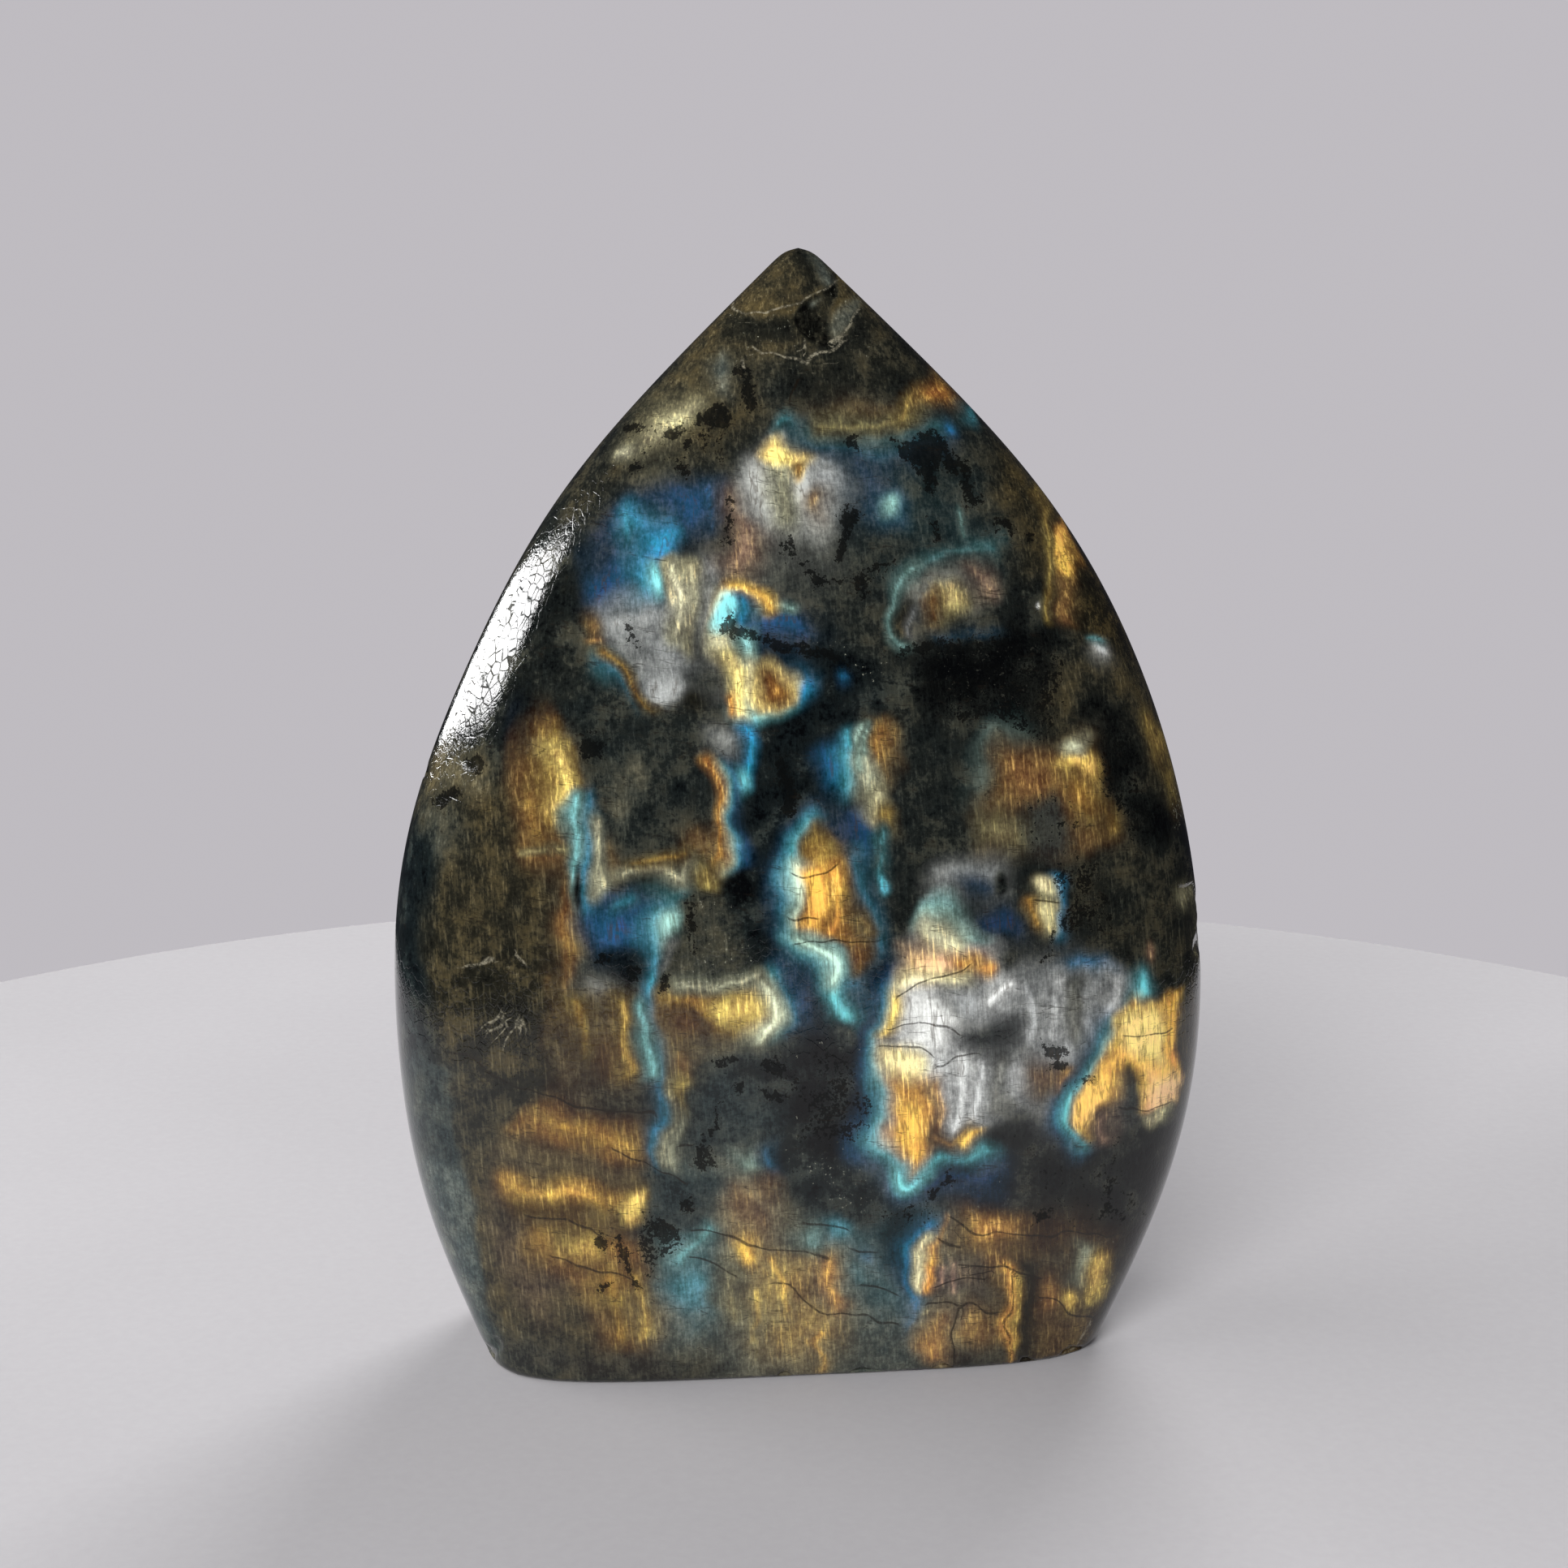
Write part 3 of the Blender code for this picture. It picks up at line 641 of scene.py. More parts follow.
RIGHT_SIDE = (
    ground("right edge stone", 0.28, 0.50, 18,
        (1380, 1010), (1460, 1060), (1482, 1180), (1400, 1200), (1340, 1160), (1330, 1060)),
    flash("gold dome's green rim", 0.37, 0.36, 11,
        (1203, 975), (1212, 935), (1232, 906), (1262, 896), width=22),
    flash("gold dome", 0.69, 0.57, 20,
        (1207, 968), (1218, 932), (1238, 908), (1270, 900), (1305, 902), (1322, 897), (1340, 906),
        (1350, 930), (1360, 960), (1375, 1000), (1385, 1022), (1380, 1050), (1230, 1050), (1210, 1040),
        (1202, 1000)),
    flash("dome's bright crest", 0.535, 1.06, 10,
        (1300, 930), (1322, 918), (1350, 938), (1356, 960), (1330, 958), (1304, 950)),
    flash("dome's green cap", 0.455, 0.82, 8,
        (1308, 905), (1325, 898), (1338, 908), (1332, 926), (1312, 926)),
    flash("dome's gold side", 0.59, 0.44, 16,
        (1300, 954), (1352, 960), (1372, 1000), (1340, 1012), (1308, 985)),
    flash("dome's olive hem", 0.56, 0.42, 11, (1350, 985), (1376, 1000), (1386, 1030), (1352, 1032)),
    flash("dome's cream-olive foot", 0.49, 0.44, 18,
        (1212, 1005), (1265, 1003), (1265, 1044), (1216, 1044)),
    ground("dome's grey foot", 0.40, 0.10, 11,
        (1262, 1005), (1308, 995), (1314, 1050), (1264, 1050), glow=0.18),
    flash("lavender bar", 0.90, 0.84, 16,
        (1148, 1062), (1240, 1060), (1245, 1110), (1195, 1116), (1150, 1100)),
    flash("lavender's blue", 0.16, 0.52, 12, *oval(1200, 1092, 26, 16)),
    flash("dark blue gap", 0.13, 0.80, 12, (1200, 1118), (1250, 1115), (1256, 1162), (1215, 1160)),
    flash("spot's blue edge", 0.26, 0.85, 6, (1305, 1080), (1307, 1112), (1304, 1152), width=12),
    flash("cream spot", 0.475, 0.96, 7,
        (1274, 1084), (1292, 1078), (1301, 1088), (1301, 1107), (1276, 1109)),
    flash("cream spot", 0.48, 0.94, 7,
        (1264, 1118), (1301, 1113), (1301, 1150), (1278, 1154), (1264, 1136)),
    flash("spot's orange side", 0.60, 0.66, 5, (1267, 1118), (1269, 1144), width=8),
    ground("black lobe", 0.03, 0.20, 6, *oval(1230, 1088, 9, 14)),
    flash("silver field", 0.925, 0.80, 13,
        (1252, 1200), (1300, 1190), (1372, 1205), (1376, 1262), (1352, 1300), (1335, 1345), (1290, 1360),
        (1248, 1350)),
    flash("blue cloud", 0.24, 0.66, 12,
        (1315, 1180), (1345, 1172), (1380, 1185), (1374, 1212), (1320, 1208)),
    flash("field's white bars", 0.98, 0.80, 9, (1313, 1212), (1315, 1248), width=20),
    flash("field's white bars", 0.98, 0.84, 9, (1369, 1204), (1371, 1252), width=18),
    flash("field's white bars", 0.97, 0.76, 9, (1300, 1232), (1301, 1268), width=16),
    flash("field's pale bar", 0.95, 0.72, 10, (1270, 1215), (1272, 1275), width=20),
    flash("field's pale bar", 0.95, 0.78, 10, (1345, 1215), (1347, 1290), width=18),
    flash("field's grey bar", 0.86, 0.62, 7, (1332, 1220), (1330, 1300), width=14),
    flash("field's rose", 0.77, 0.52, 12, (1262, 1300), (1300, 1310), (1310, 1345), (1270, 1350)),
    flash("field's pink line", 0.60, 0.74, 4, (1304, 1320), (1305, 1350), width=8),
    flash("right patch's cyan top", 0.345, 0.96, 10,
        (1388, 1222), (1396, 1192), (1415, 1186), (1422, 1222)),
    flash("right patch's blue shade", 0.22, 0.75, 10,
        (1380, 1262), (1344, 1300), (1322, 1345), (1314, 1380), (1330, 1410), width=22),
    flash("right patch's cyan rim", 0.345, 0.80, 7,
        (1384, 1262), (1352, 1300), (1332, 1340), (1322, 1372), (1336, 1402), width=15),
    flash("right patch", 0.565, 1.16, 8,
        (1395, 1216), (1412, 1226), (1430, 1229), (1460, 1226), (1456, 1250), (1458, 1300), (1450, 1330),
        (1448, 1366), (1410, 1371), (1395, 1360), (1388, 1340), (1378, 1335), (1366, 1362), (1356, 1390),
        (1345, 1396), (1335, 1380), (1332, 1360), (1342, 1330), (1350, 1305), (1370, 1280), (1382, 1255)),
    flash("right patch's yellow", 0.51, 1.25, 9,
        (1392, 1232), (1430, 1240), (1436, 1300), (1400, 1310), (1384, 1290)),
    flash("right patch's amber", 0.60, 1.10, 8, (1434, 1240), (1456, 1236), (1456, 1320), (1438, 1322)),
    flash("right patch's pink", PEACH, 1.50, 9, (1406, 1328), (1450, 1328), (1448, 1368), (1410, 1372)),
    flash("right patch's leg", 0.55, 1.30, 6, (1337, 1344), (1361, 1338), (1361, 1388), (1340, 1390)),
    flash("right patch's rose leg", 0.80, 0.62, 8, (1367, 1370), (1363, 1404), width=11),
    flash("right patch's ragged foot", 0.47, 0.70, 6,
        (1404, 1374), (1446, 1372), (1440, 1398), (1410, 1394)),
    ground("teal wedge", 0.12, 0.02, 6, (1379, 1332), (1388, 1322), (1394, 1366), (1384, 1376), glow=0.10),
    flash("pink spot", 0.78, 0.74, 6, *oval(1423, 1172, 9, 14)),
    flash("pale edge break", 0.47, 0.50, 7, (1466, 1095), (1478, 1140), (1476, 1176), width=14),
    ground("brown edge stone", 0.36, 0.85, 10, (1462, 1228), (1482, 1235), (1478, 1350), (1456, 1350)),
)

LOWER_MIDDLE = (
    ground("black patch", 0.18, 0.10, 16,
        (955, 1430), (1080, 1460), (1090, 1500), (1010, 1500), (950, 1470)),
    ground("grey-blue step", 0.36, 0.05, 14, (805, 1450), (870, 1450), (872, 1500), (806, 1502)),
    flash("teal stripe", 0.37, 0.60, 7, (838, 1560), (850, 1530), (872, 1510), width=13),
    flash("blue-cyan spot", 0.32, 0.60, 12,
        (820, 1572), (850, 1560), (876, 1580), (872, 1614), (835, 1620), (816, 1595)),
    flash("green cap", 0.42, 0.58, 11, (900, 1418), (925, 1412), (942, 1430), (938, 1455), (902, 1452)),
    flash("cap's blue side", 0.23, 0.60, 9, (946, 1422), (952, 1456), width=17),
    flash("brown fibres", 0.62, 0.44, 12, (888, 1452), (930, 1448), (962, 1470), (962, 1522), (900, 1522)),
    flash("gold-olive field", 0.57, 0.50, 20,
        (902, 1520), (960, 1520), (1040, 1545), (1040, 1610), (1022, 1684), (930, 1684), (896, 1600)),
    flash("field's orange heart", 0.575, 0.88, 8, (905, 1526), (936, 1522), (942, 1550), (912, 1556)),
    flash("field's amber side", 0.62, 0.64, 10, (1006, 1548), (1036, 1552), (1040, 1606), (1014, 1610)),
    flash("field's gold line", 0.58, 0.64, 6, (1014, 1636), (1016, 1686), width=11),
    flash("field's gold ribs", 0.56, 0.66, 7, (960, 1550), (966, 1620), width=16),
    flash("field's gold ribs", 0.55, 0.60, 7, (930, 1590), (936, 1660), width=14),
    flash("field's olive side", 0.50, 0.42, 12, (880, 1560), (910, 1560), (915, 1640), (885, 1640)),
    flash("grey-cyan step", 0.39, 0.45, 9, (984, 1506), (1012, 1506), (1012, 1540), (986, 1540)),
    flash("teal step", 0.32, 0.54, 9, (1012, 1500), (1046, 1500), (1046, 1530), (1012, 1532)),
    flash("blue step", 0.22, 0.68, 8, (1054, 1538), (1076, 1540), (1076, 1560), (1056, 1558)),
    flash("teal cheek", 0.33, 0.34, 11, (1040, 1548), (1068, 1552), (1070, 1586), (1042, 1584)),
    flash("teal lens", 0.26, 0.62, 9, *oval(1122, 1608, 10, 36)),
    ground("dark gap", 0.14, 0.05, 14, (1085, 1490), (1130, 1495), (1124, 1580), (1090, 1560), glow=0.15),
)

LOWER_RIGHT = (
    flash("crescent's blue back", 0.25, 0.60, 10,
        (1140, 1520), (1120, 1548), (1116, 1580), (1126, 1606), width=18),
    flash("brown loaf", 0.71, 0.50, 12,
        (1150, 1530), (1190, 1496), (1262, 1490), (1275, 1520), (1262, 1610), (1220, 1618), (1150, 1612)),
    flash("loaf's orange crown", 0.665, 0.58, 10, (1190, 1494), (1258, 1490), (1262, 1528), (1200, 1532)),
    flash("loaf's rose heart", 0.79, 0.40, 10, (1160, 1550), (1210, 1545), (1215, 1600), (1165, 1600)),
    flash("orange crescent", 0.61, 0.92, 5,
        (1157, 1508), (1151, 1533), (1137, 1546), (1130, 1560), (1132, 1580), (1140, 1597), (1152, 1594),
        (1154, 1560)),
    flash("crescent's yellow back", 0.47, 0.90, 4, (1140, 1540), (1131, 1560), (1133, 1584), width=7),
    flash("loaf's pale line", 0.80, 0.76, 3, (1160, 1562), (1160, 1584), width=6),
    flash("loaf's pale line", 0.80, 0.72, 3, (1173, 1556), (1173, 1602), width=6),
    flash("cream fleck", 0.47, 0.62, 4, *oval(1142, 1619, 9, 5)),
    flash("brown-gold field", 0.61, 0.52, 10, (1132, 1626), (1176, 1624), (1176, 1686), (1134, 1686)),
    flash("brown-orange field", 0.67, 0.52, 10, (1180, 1614), (1232, 1612), (1232, 1652), (1182, 1652)),
    flash("orange stripe", 0.65, 1.05, 5,
        (1235, 1564), (1256, 1566), (1254, 1640), (1248, 1684), (1240, 1682), (1236, 1640)),
    flash("stripe's gold line", 0.55, 0.90, 3, (1251, 1570), (1251, 1660), width=6),
    ground("dark band", 0.16, 0.45, 6, (1264, 1562), (1265, 1692), width=14, glow=0.12),
    flash("rusty field", 0.67, 0.56, 9, (1275, 1570), (1302, 1568), (1302, 1622), (1276, 1622)),
    flash("olive-teal bar", 0.45, 0.46, 8, (1315, 1540), (1340, 1540), (1340, 1592), (1316, 1592)),
    flash("yellow cluster", 0.545, 0.74, 7, *oval(1315, 1603, 12, 15)),
    flash("yellow cluster", 0.535, 0.72, 8,
        (1332, 1560), (1350, 1545), (1371, 1552), (1368, 1590), (1345, 1618), (1331, 1600)),
    ground("olive foot", 0.38, 0.80, 12, (1280, 1622), (1340, 1620), (1330, 1665), (1285, 1672), glow=0.30),
    ground("green foot", 0.32, 0.25, 12, (1180, 1658), (1232, 1658), (1232, 1690), (1182, 1690), glow=0.15),
)

FLASH_PATCHES = (
    WASHES + CROWN + UPPER_LEFT + UPPER_MIDDLE + RIGHT_SHOULDER + SNAKE + MIDDLE + CRESCENT + LEFT_BAND
    + LOWER_LEFT + CENTRE_LEFT + RIGHT_SIDE + BIG_PATCH + LOWER_MIDDLE + LOWER_RIGHT
)

INCLUSIONS = (
    ink("crown hook", 8, (910, 468), (924, 475), (920, 500)),
    ink("crown web", 0, (758, 520), (900, 500), (900, 560), (790, 580), fill=0.30),
    ink("web's strip", 7, (774, 527), (796, 528)),
    ink("web's blot", 0, *oval(832, 530, 12, 9)),
    ink("web's blot", 0, *oval(850, 546, 7, 6)),
    ink("web's blot", 0, *oval(886, 515, 11, 11)),
    ink("web's line", 5, (862, 515), (885, 512)),
    ink("blue's blot", 0, *oval(782, 588, 6, 5)),
    ink("blue's blot", 0, *oval(833, 578, 8, 6)),
    ink("brown thread", 11, (896, 618), (893, 662), fill=0.62),
    ink("shoulder's big blot", 0,
        (1108, 548), (1130, 555), (1140, 545), (1150, 540), (1165, 550), (1186, 568), (1180, 580),
        (1165, 566), (1155, 582), (1150, 602), (1140, 600), (1138, 575), (1127, 568)),
    ink("shoulder's line", 6, (1190, 585), (1200, 600), (1215, 620)),
    ink("cloud's blot", 0, *oval(1052, 552, 7, 6)),
    ink("cloud's hook", 8, (1050, 633), (1042, 662), (1034, 684)),
    ink("cloud's blot", 9, (1147, 635), (1147, 660), fill=0.75),
    ink("window's web", 10, (960, 664), (1000, 700), (1040, 712), (1064, 712), (1090, 696), fill=0.66),
    ink("web's drop", 5, (1060, 714), (1058, 737)),
    ink("web's blot", 0, *oval(1005, 711, 8, 6)),
    ink("flank's specks", 0, *oval(1236, 656, 6, 7)),
    ink("flank's specks", 0, *oval(1262, 668, 5, 5)),
    ink("black web", 0,
        (1120, 790), (1180, 778), (1290, 780), (1310, 860), (1290, 900), (1150, 880), fill=0.52),
    ink("snake's back", 7,
        (905, 768), (915, 785), (930, 790), (950, 796), (975, 806), (1000, 811), (1045, 822)),
    ink("ring's shade", 12, (1110, 800), (1150, 790), (1200, 800), fill=0.8),
    ink("window's eye", 0,
        (716, 897), (725, 905), (745, 914), (742, 925), (727, 934), (713, 933), fill=0.8),
    ink("silver crack", 6, (786, 768), (786, 802), fill=0.7),
    ink("dark wisp", 9, (972, 948), (974, 996)),
    ink("bay's blot", 0, *oval(741, 1174, 8, 6)),
    ink("bay's blot", 9, (769, 1190), (772, 1206)),
    ink("bay's blot", 6, (826, 1208), (830, 1216)),
    ink("cape's edge", 7, (849, 1120), (847, 1148), (849, 1172), fill=0.8),
    # Painted shade: the cheek's pits and nick are sunk as chips too, and the black laid here darkens their
    # hollows
    ink("cheek's pit", 0, *oval(577, 941, 12, 9)),
    ink("cheek's pit", 0, *oval(553, 981, 19, 7, -8)),
    ink("cheek's nick", 0, *oval(523, 949, 5, 5)),
    ink("dome's strokes", 5, (945, 1303), (956, 1310), (970, 1325), (982, 1347)),
    ink("dome's strokes", 5, (884, 1304), (911, 1301)),
    ink("dome's blot", 0, *oval(910, 1345, 7, 6)),
    ink("dome's blot", 0, *oval(951, 1350, 8, 6)),
    ink("dome's lens", 6, (887, 1368), (885, 1390), (872, 1410), (868, 1432)),
    ink("mottled web", 0, (985, 1290), (1060, 1300), (1075, 1400), (990, 1420), fill=0.46),
    ink("field's blot", 0, *oval(1295, 1288, 10, 9)),
    ink("field's blot", 0, *oval(1293, 1309, 7, 6)),
    ink("field's streak", 5, (1313, 1340), (1342, 1340), fill=0.7),
    ink("right web", 0, (1300, 1068), (1350, 1062), (1380, 1140), (1310, 1160), fill=0.50),
    ink("edge web", 0, (1350, 890), (1400, 920), (1440, 1040), (1400, 1040), (1360, 960), fill=0.48),
    ink("spot's rod", 3, (1292, 1128), (1293, 1182), fill=0.7),
    ink("dome's specks", 0, (1255, 985), (1320, 980), (1330, 1060), (1265, 1070), fill=0.32),
    ink("shelf's blot", 0, *oval(745, 1537, 8, 7)),
    ink("shelf's great blot", 0,
        (800, 1497), (815, 1494), (836, 1510), (831, 1546), (813, 1560), (801, 1582), (790, 1560),
        (785, 1545), (794, 1520), fill=0.66),
    ink("shelf's specks", 5, (770, 1533), (774, 1568), (786, 1596)),
    ink("shelf's specks", 0, *oval(742, 1588, 5, 5)),
    ink("step's speck", 0, *oval(850, 1471, 6, 5)),
    ink("foot stroke", 6, (1150, 1476), (1168, 1458)),
    ink("right specks", 5, (1364, 1450), (1367, 1476), (1396, 1500), fill=0.8),
    ink("right specks", 0, *oval(1280, 1496, 6, 5)),
    ink("lower web", 0, (1080, 1470), (1140, 1480), (1150, 1520), (1090, 1530), fill=0.34),
    ink("right foot web", 0, (1250, 1400), (1400, 1400), (1420, 1500), (1300, 1520), fill=0.24),
)

CRACKS = (
    ((545, 1300), (575, 1305), (600, 1313), (625, 1322), (650, 1337), (680, 1345), (700, 1352), (720, 1362),
     (745, 1368), (770, 1374), (800, 1378)),
    ((755, 1415), (770, 1422), (795, 1430), (820, 1440), (850, 1450)),
    ((650, 1502), (680, 1508), (710, 1520), (750, 1532)),
    ((680, 1545), (720, 1563), (745, 1572), (770, 1580), (790, 1590)),
    ((845, 1508), (900, 1519), (930, 1527), (965, 1532), (985, 1542), (1018, 1550)),
    ((850, 1553), (870, 1560), (900, 1567)),
    ((950, 1590), (980, 1600), (1020, 1608), (1050, 1617), (1080, 1625), (1110, 1629)),
    ((985, 1505), (1040, 1515)),
    ((1045, 1537), (1080, 1543)),
    ((1055, 1580), (1100, 1595)),
    ((1160, 1510), (1200, 1517), (1250, 1517), (1300, 1523), (1340, 1525), (1410, 1520)),
    ((1150, 1535), (1180, 1534)),
    ((1180, 1558), (1230, 1560), (1280, 1572)),
    ((1155, 1587), (1215, 1575)),
    ((1140, 1610), (1178, 1620), (1230, 1610)),
    ((1275, 1600), (1300, 1605), (1315, 1615), (1345, 1632)),
    ((1177, 1622), (1178, 1680)),
    ((1105, 1225), (1130, 1210), (1150, 1202), (1200, 1190)),
    ((1100, 1265), (1135, 1262), (1180, 1278)),
    ((1095, 1297), (1130, 1295), (1145, 1305)),
    ((1150, 1315), (1205, 1310)),
    ((1390, 1275), (1445, 1270)),
    ((1375, 1360), (1440, 1370)),
    ((975, 1071), (1025, 1071)),
    ((970, 1127), (1010, 1127)),
    ((985, 1163), (1080, 1164)),
    ((845, 1405), (862, 1406)),
    ((1272, 1117), (1303, 1116)),
    ((985, 470), (975, 485), (972, 500)),
    ((1243, 1560), (1243, 1680)),
)

CHALK_LINES = (
    ((903, 375), (915, 380), (930, 388), (950, 385), (955, 378), (975, 372), (990, 372), (1000, 362),
     (1010, 358), (1020, 350), (1028, 342)),
    ((930, 437), (940, 448), (965, 448), (990, 445), (1000, 438), (1020, 430), (1030, 425), (1042, 417)),
    ((1027, 418), (1040, 410), (1052, 398), (1062, 384)),
    ((992, 420), (992, 433)),
    ((918, 455), (919, 466)),
    ((603, 1270), (612, 1247)),
    ((612, 1250), (616, 1270), (607, 1281)),
    ((630, 1258), (633, 1275), (624, 1291)),
    ((634, 1256), (646, 1271)),
    ((570, 1194), (585, 1187), (601, 1188)),
    ((632, 1183), (646, 1190)),
    # Painted highlight: the pale line along the foot's right edge stands in for light caught on its bevel
    ((1310, 1670), (1325, 1660), (1340, 1635)),
)

SPARK_FIELDS = (
    ink("web's flecks", 0, (1150, 795), (1290, 790), (1300, 850), (1280, 885), (1160, 875), fill=0.42),
    ink("snake's flecks", 12, (975, 804), (1030, 803), (1080, 820), (1120, 800), fill=0.50),
    ink("right web's flecks", 0, (1290, 1060), (1350, 1050), (1400, 1150), (1310, 1160), fill=0.38),
    ink("edge flecks", 9, (1438, 912), (1446, 945), (1456, 1022), fill=0.62),
    ink("dark field's flecks", 0,
        (960, 1425), (1020, 1420), (1140, 1480), (1150, 1505), (1000, 1490), fill=0.38),
    ink("chips' flecks", 0, (840, 1110), (930, 1120), (920, 1210), (850, 1215), fill=0.38),
    ink("edge break", 0, (1462, 1088), (1484, 1092), (1484, 1180), (1470, 1176), fill=0.56),
    ink("mottled flecks", 0, (970, 1290), (1080, 1250), (1090, 1420), (960, 1440), fill=0.34),
    ink("foot's flecks", 0, (1100, 1400), (1400, 1400), (1380, 1640), (1100, 1600), fill=0.28),
    ink("crown's flecks", 0, (890, 370), (1060, 350), (1090, 440), (900, 470), fill=0.34),
)


# Where the stone is chipped: how deep, in millimetres, and the outline
CHIPS = (
    ink("scar below the tip", 0,
        (905, 378), (935, 390), (975, 376), (1000, 364), (1026, 346), (1026, 424), (985, 444), (945, 448),
        (915, 436), (896, 410), fill=0.10),
    ink("broken facet", 0,
        (988, 386), (1000, 372), (1026, 354), (1026, 420), (1002, 420), (990, 404), fill=0.34),
    ink("nick in the outline", 0, *oval(1030, 340, 11, 7), fill=0.40),
    ink("upper graze", 0, *oval(892, 462, 13, 22), fill=0.10),
    ink("cheek's pit", 0, *oval(575, 938, 11, 9), fill=0.05),
    ink("cheek's long pit", 0, *oval(552, 980, 18, 8, -8), fill=0.05),
    ink("cheek's nick", 0, *oval(520, 949, 10, 9), fill=0.40),
    ink("edge break", 0, (1464, 1092), (1490, 1092), (1490, 1178), (1470, 1174), (1474, 1130), fill=0.26),
    ink("foot's corner", 0, *oval(604, 1660, 9, 9), fill=0.34),
    ink("foot's nicks", 0, *oval(960, 1697, 9, 6), fill=0.34),
    ink("foot's nicks", 0, *oval(1072, 1691, 16, 6), fill=0.30),
    ink("foot's nicks", 0, *oval(1170, 1686, 20, 6), fill=0.34),
    ink("foot's nicks", 0, *oval(1270, 1679, 8, 6), fill=0.34),
    ink("foot's right corner", 0, *oval(1322, 1669, 14, 8), fill=0.40),
)


class StoneSettings(bpy.types.PropertyGroup):
    """Sizes and looks of the polished stone."""

    fibre_width: bpy.props.FloatProperty(
        name="Fibre width", description="Width of one mineral fibre", default=0.00028, unit="LENGTH")
    fibre_length: bpy.props.FloatProperty(
        name="Fibre length", description="Length of one mineral fibre", default=0.0030, unit="LENGTH")
    fibre_lean: bpy.props.FloatProperty(
        name="Fibre lean", description="How far the fibres lean from upright",
        default=math.radians(-4), subtype="ANGLE", unit="ROTATION")
    cloud_size: bpy.props.FloatProperty(
        name="Cloud size", description="Size of the clouds in the plain stone", default=0.0036, unit="LENGTH")
    crack_width: bpy.props.FloatProperty(
        name="Crack width", description="Width of the healed cracks", default=0.00017, unit="LENGTH")
    polish: bpy.props.FloatProperty(
        name="Polish", description="Roughness of the polished surface",
        default=0.05, min=0, max=1, subtype="FACTOR")
    stone_ior: bpy.props.FloatProperty(
        name="Index of refraction", description="How strongly the polished skin mirrors",
        default=1.48, min=1, max=2)


class StageSettings(bpy.types.PropertyGroup):
    """The floor, the light and the camera."""

    floor_radius: bpy.props.FloatProperty(
        name="Floor radius", description="Radius of the round floor", default=0.19, unit="LENGTH")
    floor_colour: bpy.props.FloatVectorProperty(
        name="Floor colour", description="Colour of the floor",
        default=(0.34, 0.33, 0.34), subtype="COLOR", size=3)
    backdrop_colour: bpy.props.FloatVectorProperty(
        name="Backdrop colour", description="Colour behind the stone",
        default=(0.52, 0.50, 0.53), subtype="COLOR", size=3)
    window_power: bpy.props.FloatProperty(
        name="Window light", description="Power of the wide window light on the left",
        default=4.0, unit="POWER")
    fill_power: bpy.props.FloatProperty(
        name="Fill light", description="Power of the soft light in front", default=10.5, unit="POWER")


def display_colour(rgb):
    """A display colour from 0 to 255 as the linear colour that a shader takes."""
    share = np.array(rgb) / 255.0
    linear = np.where(share <= 0.04045, share / 12.92, ((share + 0.055) / 1.055) ** 2.4)
    return (*linear.tolist(), 1.0)


def flash_colour(hue):
    """The linear colour at a place on the flash's scale."""
    places = [place for place, _ in FLASH_SCALE]
    mixed = [np.interp(hue, places, [colour[i] for _, colour in FLASH_SCALE]) for i in range(3)]
    return np.array(display_colour(mixed)[:3])


def view_axes():
    """Where the camera stands, and its right, up and forward directions."""
    side, rise = math.radians(VIEW_AZIMUTH), math.radians(VIEW_ELEVATION)
    back = Vector((math.sin(side) * math.cos(rise), -math.cos(side) * math.cos(rise), math.sin(rise)))
    right = (-back).cross(Vector((0, 0, 1))).normalized()
    return VIEW_TARGET + back * VIEW_DISTANCE, right, right.cross(-back), -back


def picture_places(points):
    """Where points on the stone show in the photograph, in its pixels."""
    eye, right, up, forward = (np.array(v) for v in view_axes())
    reach = points - eye
    depth = reach @ forward
    per_metre = PICTURE * VIEW_LENS / VIEW_SENSOR / depth
    return PICTURE / 2 + per_metre * (reach @ right), PICTURE / 2 - per_metre * (reach @ up)


def waves(points, size, seed):
    """A smooth random field, about one unit strong, whose swells are about this size."""
    draw = np.random.default_rng(seed)
    field = np.zeros(len(points))
    count = 14
    for _ in range(count):
        way = draw.normal(size=points.shape[1])
        way *= math.tau * draw.uniform(0.5, 1.4) / (size * np.linalg.norm(way))
        field += np.sin(points @ way + draw.uniform(0, math.tau))
    return field / math.sqrt(count / 2)


def smooth_step(value, low, high):
    share = np.clip((value - low) / (high - low), 0, 1)
    return share * share * (3 - 2 * share)


def depth_inside(x, y, points, width):
    """How far each place lies inside an outline, or inside a line of this width; negative outside."""
    ends = list(zip(points, points[1:] if width else (*points[1:], points[0])))
    near = np.full(len(x), 1e6)
    inside = np.zeros(len(x), bool)
    for (ax, ay), (bx, by) in ends:
        run, fall = bx - ax, by - ay
        along = np.clip(((x - ax) * run + (y - ay) * fall) / (run * run + fall * fall), 0, 1)
        near = np.minimum(near, np.hypot(x - ax - along * run, y - ay - along * fall))
        if not width and fall:
            inside ^= ((ay > y) != (by > y)) & (x < run * (y - ay) / fall + ax)
    return width / 2 - near if width else np.where(inside, near, -near)


def rounded(points, closed):
    """The same outline or line with its corners eased: a curve through every point."""
    given = np.array(points, float)
    if len(given) < 3:
        return [tuple(p) for p in given]
    padded = np.vstack([given[-1:], given, given[:2]] if closed else [given[:1], given, given[-1:]])
    eased = []
    for before, here, there, beyond in zip(padded, padded[1:], padded[2:], padded[3:]):
        for share in (0.0, 1 / 3, 2 / 3):
            pull = 0.5 * share * (1 - share)
            eased.append(tuple(
                here * (1 - share) + there * share
                + pull * ((1 - share) * (2 * here - before - there) + share * (2 * there - here - beyond))))
    return eased if closed else [*eased, tuple(given[-1])]


